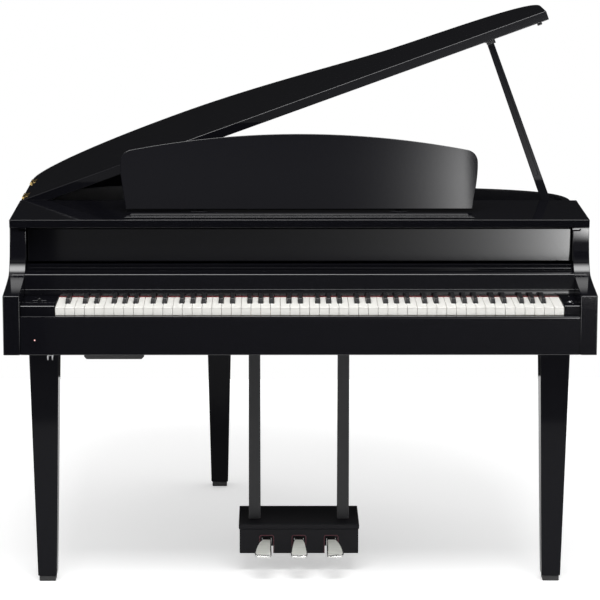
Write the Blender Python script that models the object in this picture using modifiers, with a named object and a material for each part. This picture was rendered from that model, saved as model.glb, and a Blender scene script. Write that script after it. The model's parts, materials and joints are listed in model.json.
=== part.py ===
"""A digital grand piano: a winged case on three legs, with lid, prop, music rest, folding key cover,
hinged keys and a pedal lyre.

Metres, +Z up, +X to the player's right, +Y towards the tail. The origin is on the floor, under the
middle of the case. Sizes along Y are written as distances behind the front of the arms, and
along() turns them into Y.
"""

import math

import bmesh
import bpy
from mathutils import Matrix, Vector

# Case
CASE_WIDTH = 1.430
CASE_DEPTH = 1.146
CASE_BOTTOM = 0.614
CASE_HEIGHT = 0.2975
LID_THICKNESS = 0.024
SHELF_TOP = CASE_BOTTOM + CASE_HEIGHT
RIM_TOP = SHELF_TOP - LID_THICKNESS - 0.0005
RIM_WALL = 0.020
BOTTOM_BOARD = 0.018
GAP = 0.0004
SEAT = 0.0003
BOARD_EDGE = 0.0015
WIDE_EDGE = 0.002
SMALL_EDGE = 0.001
ARM_WIDTH = 0.040
ARM_TOP = CASE_BOTTOM + 0.146
ARM_RISE = 0.203
SHELF_THICKNESS = 0.020
SHELF_BOTTOM = SHELF_TOP - SHELF_THICKNESS
SHELF_FRONT = ARM_RISE - 0.010
SHELF_DEPTH = 0.298
SHELF_BACK = SHELF_FRONT + SHELF_DEPTH
SHELF_UNDERCUT = 0.003
DECK_TOP = RIM_TOP - 0.032
DECK_THICKNESS = 0.012
DECK_FRONT = SHELF_BACK + 0.009
DECK_CLEARANCE = 0.0015
CLEAT_HEIGHT = 0.015
CLEAT_REACH = 0.012
NOTCH_DROP = 0.0035
NOTCH_HEIGHT = 0.0062
NOTCH_WIDTH = 0.0205
NOTCH_DEPTH = 0.010
WOOFER_RADIUS = 0.082
WOOFER_DEPTH = 0.070
WOOFER_OPENING = 0.85 * WOOFER_RADIUS
WOOFER_SPACING = 0.640
WOOFER_BACK = SHELF_BACK + 0.169
BASS_TURN = CASE_DEPTH - 0.296
TREBLE_TURN = CASE_DEPTH - 0.506

# Lid
LID_FRONT = SHELF_BACK + 0.003
LID_OPEN = math.radians(20.0)
LID_PIVOT_X = 0.004 - CASE_WIDTH / 2
HINGE_LEAF = 0.007
KNUCKLE_RADIUS = 0.0035
KNUCKLE_LENGTH = 0.060
KNUCKLE_CLEARANCE = 0.0015
LID_HINGE_PLACES = (LID_FRONT + 0.066, BASS_TURN - 0.060)
PROP_BASE_X = CASE_WIDTH / 2 - 0.068
PROP_BASE_Z = RIM_TOP - 0.003
PROP_Y = LID_FRONT + 0.026
PROP_WIDTH_LOW = 0.023
PROP_WIDTH_HIGH = 0.017
PROP_THICKNESS = 0.012
PROP_PIN = 0.0030
PIN_CLEARANCE = 0.0003
CUP_WALL = 0.004
CUP_FLOOR = 0.003
CUP_DEPTH = 0.008
CUP_CLEARANCE = 0.0008
BRACKET_CLEARANCE = 0.0006
BRACKET_WALL = 0.004
BRACKET_LENGTH = 0.020
BRACKET_RISE = 0.006
FLUTE_WIDTH = 0.007
FLUTE_DEPTH = 0.003
FLUTE_START = 0.097
BUMPER_RADIUS = 0.004
BUMPER_HEIGHT = 0.003
BUMPER_X = CASE_WIDTH / 2 - 0.0255
BUMPER_Y = LID_FRONT + 0.013

# Keyboard
WHITE_COUNT = 52
MIDDLE_C = 23
KEY_PITCH = 0.02359
KEYBOARD_CENTRE = 0.02294
KEYBOARD_LEFT = KEYBOARD_CENTRE - WHITE_COUNT * KEY_PITCH / 2
KEYBOARD_RIGHT = KEYBOARD_CENTRE + WHITE_COUNT * KEY_PITCH / 2
KEY_GAP = 0.0010
KEY_FRONT = 0.019
KEY_THICKNESS = 0.019
KEY_BOTTOM = CASE_BOTTOM + 0.095
KEY_TOP = KEY_BOTTOM + KEY_THICKNESS
KEY_PIVOT = 0.250
KEY_PIVOT_Z = KEY_BOTTOM + 0.003
KEY_HEAD = 0.046
WHITE_TAIL = KEY_PIVOT - 0.010
WHITE_BAR = 0.012
BLACK_BACK = 0.1403
BLACK_WIDTH = 0.0105
BLACK_RISE = 0.012
BLACK_TAIL = KEY_PIVOT + 0.010
BLACK_BAR = 0.012
BLACK_KEY_CLEARANCE = 0.0012
SLIP_FRONT = 0.0025
SLIP_THICKNESS = 0.015
SLIP_TOP = KEY_BOTTOM - 0.004
LAMP_X = 0.076 - CASE_WIDTH / 2
LAMP_Z = CASE_BOTTOM + 0.037
LAMP_RADIUS = 0.002
LAMP_PROUD = 0.0008
FRAME_INSET = 0.004
RAIL_DEPTH = 0.028
FRONT_RAIL_Y = 0.028
MIDDLE_RAIL_Y = 0.130
BACK_RAIL_DEPTH = 0.032
CROSS_MEMBERS = 5
CROSS_WIDTH = 0.045
CROSS_HEIGHT = 0.022
END_BLOCK_TOP = KEY_TOP + 0.0036
END_BLOCK_BACK = 0.1405
SLIDER_Y = 0.085
SLIDER_TRAVEL = 0.015
SLIDER_STEM = 0.002
KNOB_WIDTH = 0.008
KNOB_DEPTH = 0.012
KNOB_HEIGHT = 0.005
BUTTON_Y = 0.070
BUTTON_RADIUS = 0.004
BUTTON_CLEARANCE = 0.0004

# Name board and key cover
BOARD_FRONT = BLACK_BACK + 0.0012
BOARD_BOTTOM = KEY_TOP + 0.0033
BOARD_HEIGHT = 0.0657
BOARD_BACK = 0.226
FELT_THICKNESS = 0.0022
COVER_THICKNESS = 0.008
COVER_HINGE_Y = BOARD_BACK + 0.0174
COVER_HINGE_Z = BOARD_BOTTOM + BOARD_HEIGHT + 0.003
COVER_HEIGHT = SHELF_BOTTOM - 0.0095 - COVER_HINGE_Z
COVER_SIDE_GAP = 0.0015

# Music rest
REST_BASE_Y = SHELF_FRONT + 0.107
REST_BASE_Z = SHELF_TOP + 0.007
REST_LEAN = math.radians(20.0)
REST_THICKNESS = 0.012
REST_HALF_BOTTOM = 0.4325
REST_HALF_WIDE = REST_HALF_BOTTOM + 0.0155
REST_HEIGHT = 0.192
REST_SHOULDER = REST_HEIGHT - 0.042
REST_CORNER = 0.030
STRUT_PIVOT_BACK = 0.0035
EAR_DEPTH = 0.0055
EAR_THICKNESS = 0.003
EAR_HALF = 0.007
LUG_HALF = 0.020
STRUT_REACH = 0.075
STRUT_SLOPE = math.radians(60.0)
STRUT_WIDTH = 0.016
STRUT_THICKNESS = 0.005
STRUT_SPACING = 0.500
STRUT_CLEARANCE = 0.0006
LEDGE_HALF = REST_HALF_BOTTOM - 0.0005
LEDGE_FRONT = SHELF_FRONT + 0.021
LEDGE_THICKNESS = 0.003
STOP_HALF = LEDGE_HALF - 0.014
STOP_FRONT = LEDGE_FRONT + 0.016
STOP_DEPTH = 0.020
STOP_HEIGHT = 0.007

# Legs and lyre
LEG_TOP_SIZE = 0.074
LEG_LOW_SIZE = 0.047
FOOT_SIZE = 0.041
FOOT_HEIGHT = 0.0135
FRONT_LEG_X = CASE_WIDTH / 2 - 0.085
FRONT_LEG_Y = 0.180
REAR_LEG_X = 0.499 - CASE_WIDTH / 2
REAR_LEG_Y = CASE_DEPTH - 0.081
LYRE_WIDTH = 0.300
LYRE_FRONT = 0.230
LYRE_DEPTH = 0.171
LYRE_BOTTOM = 0.050
LYRE_TOP = LYRE_BOTTOM + 0.076
LYRE_PLATE = 0.012
LYRE_OVERHANG = 0.002
LYRE_WALL = 0.012
POST_SIZE = 0.030
POST_X = LYRE_WIDTH / 2 - 0.038
POST_FRONT = LYRE_FRONT + 0.046
PEDAL_SPACING = 0.0815
SLOT_CLEARANCE = 0.0075
SLOT_TOP = LYRE_BOTTOM + 0.048
PEDAL_LENGTH = 0.085
PEDAL_WIDTH = 0.040
PEDAL_NECK = 0.022
PEDAL_THICKNESS = 0.009
PEDAL_PIVOT_Y = LYRE_FRONT + 0.100
PEDAL_PIVOT_Z = LYRE_BOTTOM + 0.032
AXLE_RADIUS = 0.005
AXLE_CLEARANCE = 0.0003
JACK_BOX_LEFT = 0.193 - CASE_WIDTH / 2
JACK_BOX_WIDTH = 0.145
JACK_BOX_FRONT = 0.020
JACK_BOX_DEPTH = 0.090
JACK_BOX_HEIGHT = 0.0135
HOOK_X = 0.1075 - CASE_WIDTH / 2
HOOK_WIDTH = 0.014
HOOK_FRONT = 0.045
HOOK_WIRE = 0.0035
HOOK_BEND = 0.010
HOOK_DROP = 0.016
HOOK_FLANGE = 0.003


def along(distance):
    """Y of a place this far behind the front of the arms."""
    return distance - CASE_DEPTH / 2


def clear_scene():
    for item in list(bpy.data.objects):
        bpy.data.objects.remove(item, do_unlink=True)


def new_collection(name):
    group = bpy.data.collections.new(name)
    bpy.context.scene.collection.children.link(group)
    return group


def finish_of(name, colour, roughness, metallic=0.0):
    made = bpy.data.materials.new(name)
    made.use_nodes = True
    shader = made.node_tree.nodes["Principled BSDF"]
    shader.inputs["Base Color"].default_value = (*colour, 1.0)
    shader.inputs["Roughness"].default_value = roughness
    shader.inputs["Metallic"].default_value = metallic
    return made


def place(name, mesh, finish, group, location=(0, 0, 0), rotation=(0, 0, 0)):
    made = bpy.data.objects.new(name, mesh)
    made.location = location
    made.rotation_euler = rotation
    if finish is not None:
        mesh.materials.clear()
        mesh.materials.append(finish)
    group.objects.link(made)
    return made


def box_mesh(name, low, high):
    """A box between two corners."""
    form = bmesh.new()
    bmesh.ops.create_cube(form, size=1.0)
    low = Vector(low)
    size = Vector(high) - low
    for vertex in form.verts:
        vertex.co = Vector([low[i] + (vertex.co[i] + 0.5) * size[i] for i in range(3)])
    mesh = bpy.data.meshes.new(name)
    form.to_mesh(mesh)
    form.free()
    return mesh


def frustum_mesh(name, low_size, high_size, low_z, high_z):
    """A square block whose side changes from the bottom to the top."""
    mesh = box_mesh(name, (-0.5, -0.5, 0.0), (0.5, 0.5, 1.0))
    for vertex in mesh.vertices:
        size = high_size if vertex.co.z > 0.5 else low_size
        height = high_z if vertex.co.z > 0.5 else low_z
        vertex.co = (vertex.co.x * size, vertex.co.y * size, height)
    return mesh


def prism_mesh(name, outline, low, high, plane="XY"):
    """A flat outline given thickness from low to high along the axis that the plane leaves out."""
    curve = bpy.data.curves.new(name, "CURVE")
    curve.dimensions = "2D"
    curve.fill_mode = "BOTH"
    curve.extrude = (high - low) / 2
    spline = curve.splines.new("POLY")
    spline.points.add(len(outline) - 1)
    for point, (a, b) in zip(spline.points, outline):
        point.co = (a, b, 0.0, 1.0)
    spline.use_cyclic_u = True
    guide = bpy.data.objects.new(name, curve)
    bpy.context.scene.collection.objects.link(guide)
    graph = bpy.context.evaluated_depsgraph_get()
    mesh = bpy.data.meshes.new_from_object(guide.evaluated_get(graph))
    mesh.name = name
    bpy.data.objects.remove(guide, do_unlink=True)
    middle = (low + high) / 2
    turn = {
        "XY": Matrix.Identity(4),
        "YZ": Matrix(((0, 0, 1, 0), (1, 0, 0, 0), (0, 1, 0, 0), (0, 0, 0, 1))),
        "XZ": Matrix(((1, 0, 0, 0), (0, 0, -1, 0), (0, 1, 0, 0), (0, 0, 0, 1))),
    }[plane]
    shift = {"XY": (0, 0, middle), "YZ": (middle, 0, 0), "XZ": (0, middle, 0)}[plane]
    mesh.transform(Matrix.Translation(shift) @ turn)
    form = bmesh.new()
    form.from_mesh(mesh)
    bmesh.ops.remove_doubles(form, verts=form.verts, dist=0.000005)
    bmesh.ops.recalc_face_normals(form, faces=form.faces)
    form.to_mesh(mesh)
    form.free()
    return mesh


def turned(name, profile, finish, group, location, steps=32):
    """A profile of (radius, height) pairs from top to bottom, turned about Z."""
    mesh = bpy.data.meshes.new(name)
    mesh.from_pydata([(radius, 0, height) for radius, height in profile],
                     [(i, i + 1) for i in range(len(profile) - 1)], [])
    made = place(name, mesh, finish, group, location)
    screw = made.modifiers.new("turn", "SCREW")
    screw.steps = screw.render_steps = steps
    screw.use_merge_vertices = True
    screw.merge_threshold = 0.00005
    return made


def round_bar(name, radius, length, axis, sides=20):
    """A cylinder about the origin, along X, Y or Z."""
    form = bmesh.new()
    bmesh.ops.create_cone(form, cap_ends=True, segments=sides, radius1=radius, radius2=radius, depth=length)
    turn = {"X": Matrix.Rotation(math.pi / 2, 3, "Y"), "Y": Matrix.Rotation(math.pi / 2, 3, "X"),
            "Z": Matrix.Identity(3)}[axis]
    bmesh.ops.rotate(form, verts=form.verts, cent=(0, 0, 0), matrix=turn)
    mesh = bpy.data.meshes.new(name)
    form.to_mesh(mesh)
    form.free()
    return mesh


def ease_edges(item, width, segments=1, angle=30.0):
    bevel = item.modifiers.new("eased edges", "BEVEL")
    bevel.width = width
    bevel.segments = segments
    bevel.limit_method = "ANGLE"
    bevel.angle_limit = math.radians(angle)
    return bevel


def cut(item, cutter, cutters):
    cutters.objects.link(cutter)
    cutter.hide_render = True
    cutter.display_type = "WIRE"
    boolean = item.modifiers.new("cut " + cutter.name, "BOOLEAN")
    boolean.operation = "DIFFERENCE"
    boolean.solver = "EXACT"
    boolean.object = cutter
    return boolean


def cutter_of(name, mesh, location=(0, 0, 0), rotation=(0, 0, 0)):
    made = bpy.data.objects.new(name, mesh)
    made.location = location
    made.rotation_euler = rotation
    return made


def join(item, other, cutters):
    boolean = cut(item, other, cutters)
    boolean.operation = "UNION"
    return boolean


def on_curve(points, steps):
    """Points on one cubic curve, from its start up to but not at its end."""
    a, b, c, d = (Vector(p) for p in points)
    found = []
    for i in range(steps):
        t = i / steps
        s = 1 - t
        found.append(a * s ** 3 + b * 3 * s * s * t + c * 3 * s * t * t + d * t ** 3)
    return found


def wing_path(front, steps=9):
    """The case's outline in plan, from its front left corner round the tail to its front right one."""
    half = CASE_WIDTH / 2
    tail = CASE_DEPTH
    tail_end = (0.415 - half, tail)
    waist = (half - 0.385, tail - 0.276)
    corners = (
        ((-half, BASS_TURN), (-half, BASS_TURN + 0.160), (0.155 - half, tail), tail_end),
        (tail_end, (half - 0.765, tail), (half - 0.515, tail - 0.243), waist),
        (waist, (half - 0.235, tail - 0.314), (half, TREBLE_TURN + 0.190), (half, TREBLE_TURN)),
    )
    path = [Vector((-half, front))]
    for corner in corners:
        path += on_curve(corner, steps)
    path += [Vector((half, TREBLE_TURN)), Vector((half, front))]
    return path


def inset_path(path, distance):
    """The same path moved inwards, its ends kept in line with the front."""
    moved = []
    for i, point in enumerate(path):
        before = path[i] - path[i - 1] if i else path[1] - path[0]
        after = path[i + 1] - path[i] if i + 1 < len(path) else before
        normals = [Vector((edge.y, -edge.x)).normalized() for edge in (before, after)]
        middle = (normals[0] + normals[1]).normalized()
        moved.append(point + middle * (distance / max(middle.dot(normals[0]), 0.5)))
    return moved


def plan(path):
    """A path as an outline in X and Y."""
    return [(point.x, along(point.y)) for point in path]


def box_between(name, low, high, finish, group):
    return place(name, box_mesh(name, low, high), finish, group)


def hang(item, pivot):
    """Moves an object's origin to its joint axis and leaves its shape where it is."""
    item.data.transform(Matrix.Translation(-Vector(pivot)))
    item.location = pivot
    return item


def smooth(item, angle=40.0):
    item.data.shade_smooth()
    item.data.set_sharp_from_angle(angle=math.radians(angle))


def build_case(group, cutters, look):
    half = CASE_WIDTH / 2
    arm_inner = half - ARM_WIDTH
    rim_front = SHELF_BACK
    outer = wing_path(rim_front + GAP)
    inner = inset_path(outer, RIM_WALL)
    ring = plan(outer) + plan(reversed(inner))
    rim = place("case_rim", prism_mesh("case_rim", ring, CASE_BOTTOM, RIM_TOP), look["black"], group)
    ease_edges(rim, BOARD_EDGE, angle=60.0)
    add_rim_rests(rim, cutters)

    board_path = inset_path(wing_path(rim_front + 2 * GAP), RIM_WALL + GAP)
    front_y = SLIP_FRONT + SLIP_THICKNESS + GAP
    side = arm_inner - GAP
    board = plan(board_path)
    board += [(side, along(rim_front + 2 * GAP)), (side, along(front_y))]
    board += [(-side, along(front_y)), (-side, along(rim_front + 2 * GAP))]
    bottom = place("bottom_board", prism_mesh("bottom_board", board, CASE_BOTTOM, CASE_BOTTOM + BOTTOM_BOARD),
                   look["board"], group)
    woofer_z = CASE_BOTTOM + BOTTOM_BOARD + GAP
    for name, sign in (("left_woofer", -1), ("right_woofer", 1)):
        centre = (sign * WOOFER_SPACING / 2, along(WOOFER_BACK), woofer_z)
        hole = round_bar(name + "_hole", WOOFER_OPENING, BOTTOM_BOARD * 3, "Z", 32)
        middle = (centre[0], centre[1], CASE_BOTTOM + BOTTOM_BOARD / 2)
        cut(bottom, cutter_of(name + "_hole", hole, middle), cutters)
        build_woofer(name, centre, group, look)

    for name, sign in (("left_arm", -1), ("right_arm", 1)):
        low, high = sorted((sign * arm_inner, sign * half))
        arm = place(name, prism_mesh(name, arm_profile(), low, high, "YZ"), look["black"], group)
        ease_edges(arm, BOARD_EDGE, angle=50.0)
        cut(arm, notch_cutter(name + "_notch", sign), cutters)

    slip = box_between("key_slip", (-side, along(SLIP_FRONT), CASE_BOTTOM),
                       (side, along(SLIP_FRONT + SLIP_THICKNESS), SLIP_TOP), look["black"], group)
    ease_edges(slip, BOARD_EDGE)
    lamp = round_bar("power_lamp", LAMP_RADIUS, 2 * LAMP_PROUD, "Y", 12)
    join(slip, cutter_of("power_lamp", lamp, (LAMP_X, along(SLIP_FRONT), LAMP_Z)), cutters)

    section = [(SHELF_FRONT, SHELF_TOP), (SHELF_FRONT + SHELF_UNDERCUT, SHELF_BOTTOM),
               (SHELF_BACK, SHELF_BOTTOM), (SHELF_BACK, SHELF_TOP)]
    section = [(along(y), z) for y, z in section]
    shelf = place("top_board", prism_mesh("top_board", section, -half, half, "YZ"), look["black"], group)
    ease_edges(shelf, WIDE_EDGE, segments=2)

    deck_path = inset_path(wing_path(DECK_FRONT), RIM_WALL + DECK_CLEARANCE)
    place("sound_deck", prism_mesh("sound_deck", plan(deck_path), DECK_TOP - DECK_THICKNESS, DECK_TOP),
          look["cloth"], group)


def add_rim_rests(rim, cutters):
    """Joins to the rim the cleat under the sound deck, and the block that the lid's bumper closes on."""
    path = wing_path(DECK_FRONT)
    cleat_outer = plan(inset_path(path, RIM_WALL / 2))
    cleat_inner = plan(reversed(inset_path(path, RIM_WALL + CLEAT_REACH)))
    cleat_top = DECK_TOP - DECK_THICKNESS - SEAT
    mesh = prism_mesh("deck_cleat", cleat_outer + cleat_inner, cleat_top - CLEAT_HEIGHT, cleat_top)
    join(rim, cutter_of("deck_cleat", mesh), cutters)
    block_top = RIM_TOP - BUMPER_HEIGHT
    block = box_mesh("bumper_block", (BUMPER_X - 1.5 * BUMPER_RADIUS, along(BUMPER_Y) - 1.5 * BUMPER_RADIUS,
                                      block_top - 0.012),
                     (CASE_WIDTH / 2 - RIM_WALL / 2, along(BUMPER_Y) + 1.5 * BUMPER_RADIUS, block_top))
    join(rim, cutter_of("bumper_block", block), cutters)


def notch_cutter(name, sign):
    """The dark notch at the top inner corner of an arm's front, under the top board."""
    inner = CASE_WIDTH / 2 - ARM_WIDTH
    high = SHELF_BOTTOM - GAP - NOTCH_DROP
    low = high - NOTCH_HEIGHT
    slant = NOTCH_HEIGHT / 2
    outline = [(inner - 0.002, low), (inner + NOTCH_WIDTH - slant, low), (inner + NOTCH_WIDTH, high),
               (inner - 0.002, high)]
    if sign < 0:
        outline = [(-x, z) for x, z in reversed(outline)]
    front = along(ARM_RISE)
    return cutter_of(name, prism_mesh(name, outline, front - NOTCH_DEPTH, front + NOTCH_DEPTH, "XZ"))


def arm_profile():
    """The side view of an arm: a low front, then a hollow curve that stands up to the top board."""
    top = SHELF_BOTTOM - GAP
    hollow = (ARM_RISE - 0.053, ARM_TOP + 0.018)
    profile = on_curve(((0.0, ARM_TOP - 0.001), (ARM_RISE - 0.143, ARM_TOP + 0.006),
                        (ARM_RISE - 0.093, ARM_TOP + 0.009), hollow), 4)
    profile += on_curve((hollow, (ARM_RISE - 0.020, ARM_TOP + 0.023), (ARM_RISE - 0.001, ARM_TOP + 0.065),
                         (ARM_RISE, top)), 9)
    outline = [(0.0, CASE_BOTTOM)] + [tuple(point) for point in profile]
    outline += [(ARM_RISE, top), (SHELF_BACK, top), (SHELF_BACK, CASE_BOTTOM)]
    return [(along(y), z) for y, z in outline]


def build_woofer(name, centre, group, look):
    """A cone driver that fires down: magnet, basket, flange, roll and cone in one turned profile."""
    depth, radius = WOOFER_DEPTH, WOOFER_RADIUS
    profile = [(0.0, depth), (radius * 0.50, depth), (radius * 0.50, depth * 0.70),
               (radius * 0.38, depth * 0.66), (radius * 0.50, depth * 0.42),
               (radius * 0.93, 0.008), (radius, 0.005), (radius, 0.0),
               (radius * 0.84, 0.0), (radius * 0.80, 0.003), (radius * 0.34, depth * 0.36),
               (radius * 0.20, depth * 0.30), (0.0, depth * 0.26)]
    smooth(turned(name, profile, look["driver"], group, centre), 35.0)


def build_keyboard_frame(group, cutters, look):
    """The wooden frame under the keys: a front, a middle and a back rail on cross members."""
    low = CASE_BOTTOM + BOTTOM_BOARD + GAP
    left = KEYBOARD_LEFT + FRAME_INSET
    right = KEYBOARD_RIGHT - FRAME_INSET
    half_back = BACK_RAIL_DEPTH / 2
    frame = box_between("key_frame", (left, along(KEY_PIVOT - half_back), low),
                        (right, along(KEY_PIVOT + half_back), KEY_BOTTOM - 0.004), look["wood"], group)
    rails = (("front_rail", FRONT_RAIL_Y, KEY_BOTTOM - 0.019),
             ("middle_rail", MIDDLE_RAIL_Y, KEY_BOTTOM - 0.014))
    for name, near, top in rails:
        rail = box_mesh(name, (left, along(near), low), (right, along(near + RAIL_DEPTH), top))
        join(frame, cutter_of(name, rail), cutters)
    half_wide = CROSS_WIDTH / 2
    for index in range(CROSS_MEMBERS):
        centre = left + half_wide + (right - left - CROSS_WIDTH) * index / (CROSS_MEMBERS - 1)
        name = "cross_member_%d" % (index + 1)
        member = box_mesh(name, (centre - half_wide, along(FRONT_RAIL_Y + CROSS_HEIGHT), low),
                          (centre + half_wide, along(KEY_PIVOT), low + CROSS_HEIGHT))
        join(frame, cutter_of(name, member), cutters)

    inner = CASE_WIDTH / 2 - ARM_WIDTH - GAP
    block_front = SLIP_FRONT + SLIP_THICKNESS + GAP
    for name, low_x, high_x in (("left_end_block", -inner, KEYBOARD_LEFT - 0.001),
                                ("right_end_block", KEYBOARD_RIGHT + 0.001, inner)):
        block = box_between(name, (low_x, along(block_front), low),
                            (high_x, along(END_BLOCK_BACK), END_BLOCK_TOP), look["black"], group)
        ease_edges(block, SMALL_EDGE)
        if name == "left_end_block":
            build_slider(block, ((low_x + high_x) / 2, along(SLIDER_Y), END_BLOCK_TOP), group, cutters, look)
        else:
            build_button(block, ((low_x + high_x) / 2, along(BUTTON_Y), END_BLOCK_TOP), group, cutters, look)


def build_slider(block, centre, group, cutters, look):
    """The volume control: a knob whose stem runs in a groove across the block."""
    x, y, top = centre
    half_run = SLIDER_TRAVEL + SLIDER_STEM
    groove_half = 0.0015
    under = top + 0.0005
    groove = box_mesh("slider_groove", (x - half_run, y - groove_half, top - 0.006),
                      (x + half_run, y + groove_half, top + 0.006))
    cut(block, cutter_of("slider_groove", groove), cutters)
    knob = box_between("volume_slider", (x - KNOB_WIDTH / 2, y - KNOB_DEPTH / 2, under),
                       (x + KNOB_WIDTH / 2, y + KNOB_DEPTH / 2, under + KNOB_HEIGHT), look["plastic"], group)
    stem = box_mesh("slider_stem", (x - SLIDER_STEM / 2, y - 0.001, top - 0.005),
                    (x + SLIDER_STEM / 2, y + 0.001, top + 0.002))
    join(knob, cutter_of("slider_stem", stem), cutters)


def build_button(block, centre, group, cutters, look):
    """The power button: a round cap in a well that is as much wider as its clearance."""
    well = round_bar("button_well", BUTTON_RADIUS + BUTTON_CLEARANCE, 0.012, "Z")
    cut(block, cutter_of("button_well", well, centre), cutters)
    cap = [(0.0, 0.0012), (BUTTON_RADIUS - 0.0008, 0.0010), (BUTTON_RADIUS, 0.0004), (BUTTON_RADIUS, -0.0030),
           (0.0, -0.0030)]
    smooth(turned("power_button", cap, look["plastic"], group, centre, 20))


def build_name_board(group, look):
    inner = CASE_WIDTH / 2 - ARM_WIDTH - GAP
    front = BOARD_FRONT
    back = BOARD_BACK
    top = BOARD_BOTTOM + BOARD_HEIGHT
    step = 0.007
    undercut = 0.0012
    nose_z = top - 0.0175
    face = [(front, BOARD_BOTTOM), (front, BOARD_BOTTOM + 0.0157), (front + 0.0055, nose_z)]
    nose = [(front + 0.006 + 0.0085 * (1 - math.cos(a)), nose_z + 0.0035 * math.sin(a))
            for a in (math.radians(d) for d in (30, 60, 90))]
    steps = [(back - 0.036 + undercut, top - 0.0135), (back - 0.036, top - step),
             (back - 0.020 + undercut, top - step), (back - 0.020, top), (back, top)]
    under = [(back, top - 0.011), (front + 0.0285, top - 0.026), (front + 0.0165, BOARD_BOTTOM + 0.0137),
             (front + 0.0105, BOARD_BOTTOM)]
    outline = [(along(y), z) for y, z in face + nose + steps + under]
    place("name_board", prism_mesh("name_board", outline, -inner, inner, "YZ"), look["black"], group)
    felt_top = BOARD_BOTTOM - SEAT
    box_between("key_felt", (KEYBOARD_LEFT, along(front + 0.0004), felt_top - FELT_THICKNESS),
                (KEYBOARD_RIGHT, along(front + 0.0085), felt_top), look["felt"], group)


def sharps_of(index):
    """Offsets of the black keys that stand left and right of a white key, or None where there is none."""
    shifts = {"C": 0.0, "D": -0.0022, "E": 0.0022, "F": 0.0, "G": -0.0030, "A": 0.0, "B": 0.0030}
    names = "ABCDEFG"
    name = names[index % 7]
    following = names[(index + 1) % 7]
    left = shifts[name] if name not in "CF" and index > 0 else None
    right = shifts[following] if following not in "CF" and index < WHITE_COUNT - 1 else None
    return left, right


def white_outline(first, last):
    """White keys first to last in plan, joined at their hinge ends where there are more than one."""
    outline = []
    head_back = KEY_FRONT + KEY_HEAD
    bar_front = WHITE_TAIL - WHITE_BAR
    room = BLACK_WIDTH / 2 + BLACK_KEY_CLEARANCE
    single = first == last
    for index in range(first, last + 1):
        left = KEYBOARD_LEFT + index * KEY_PITCH + KEY_GAP / 2
        right = left + KEY_PITCH - KEY_GAP
        sharp_left, sharp_right = sharps_of(index)
        tail_left = left if sharp_left is None else left - KEY_GAP / 2 + sharp_left + room
        tail_right = right if sharp_right is None else right + KEY_GAP / 2 + sharp_right - room
        back = WHITE_TAIL if single else bar_front
        outline.append((tail_left, back))
        if sharp_left is not None:
            outline += [(tail_left, head_back), (left, head_back)]
        outline += [(left, KEY_FRONT), (right, KEY_FRONT)]
        if sharp_right is not None:
            outline += [(right, head_back), (tail_right, head_back)]
        outline.append((tail_right, back))
    if not single:
        outline += [(outline[-1][0], WHITE_TAIL), (outline[0][0], WHITE_TAIL)]
    return [(x, along(y)) for x, y in outline]


def black_profile():
    """The side view of a black key. Its tail dips under the name board and rises behind the white keys."""
    front = KEY_FRONT + KEY_HEAD + BLACK_KEY_CLEARANCE
    top = KEY_TOP + BLACK_RISE
    dip = KEY_TOP - 0.001
    bar_front = WHITE_TAIL - WHITE_BAR
    over = KEY_TOP + 0.0025
    outline = [(front, KEY_BOTTOM), (front, KEY_TOP + 0.001), (front + 0.005, top - 0.0012),
               (front + 0.008, top), (BLACK_BACK, top), (BLACK_BACK, dip), (bar_front - 0.013, dip),
               (bar_front - 0.010, top), (BLACK_TAIL, top), (BLACK_TAIL, KEY_PIVOT_Z),
               (WHITE_TAIL + 0.006, KEY_PIVOT_Z), (WHITE_TAIL + 0.006, over), (bar_front - 0.006, over),
               (bar_front - 0.006, KEY_BOTTOM)]
    return [(along(y), z) for y, z in outline]


def black_places():
    """(index of the white key on its left, X) of each black key."""
    found = []
    for index in range(WHITE_COUNT - 1):
        shift = sharps_of(index)[1]
        if shift is not None:
            found.append((index, KEYBOARD_LEFT + (index + 1) * KEY_PITCH + shift))
    return found


def build_keys(group, cutters, look):
    pivot = (0.0, along(KEY_PIVOT), KEY_PIVOT_Z)
    spans = [("white_keys_low", 0, MIDDLE_C - 1)]
    for index, letter in enumerate("cdefgab", MIDDLE_C):
        spans.append(("white_key_" + letter, index, index))
    spans.append(("white_keys_high", MIDDLE_C + 7, WHITE_COUNT - 1))
    for name, first, last in spans:
        mesh = prism_mesh(name, white_outline(first, last), KEY_BOTTOM, KEY_TOP)
        hang(place(name, mesh, look["ivory"], group), pivot)

    octave = dict(zip((MIDDLE_C, MIDDLE_C + 1, MIDDLE_C + 3, MIDDLE_C + 4, MIDDLE_C + 5),
                      ("c_sharp", "d_sharp", "f_sharp", "g_sharp", "a_sharp")))
    groups = {"black_keys_low": [], "black_keys_high": []}
    for index, x in black_places():
        if index in octave:
            name = "black_key_" + octave[index]
            mesh = prism_mesh(name, black_profile(), x - BLACK_WIDTH / 2, x + BLACK_WIDTH / 2, "YZ")
            hang(place(name, mesh, look["ebony"], group), pivot)
        else:
            groups["black_keys_low" if index < MIDDLE_C else "black_keys_high"].append(x)
    for name, places in groups.items():
        form = bmesh.new()
        for x in places:
            prism = prism_mesh(name + "_one", black_profile(), x - BLACK_WIDTH / 2, x + BLACK_WIDTH / 2, "YZ")
            form.from_mesh(prism)
            bpy.data.meshes.remove(prism)
        mesh = bpy.data.meshes.new(name)
        form.to_mesh(mesh)
        form.free()
        comb = hang(place(name, mesh, look["ebony"], group), pivot)
        bar = box_mesh(name + "_bar", (places[0], along(BLACK_TAIL - BLACK_BAR), KEY_PIVOT_Z + 0.004),
                       (places[-1], along(BLACK_TAIL - 0.002), KEY_TOP + BLACK_RISE - 0.004))
        join(comb, cutter_of(name + "_bar", bar), cutters)


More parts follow.
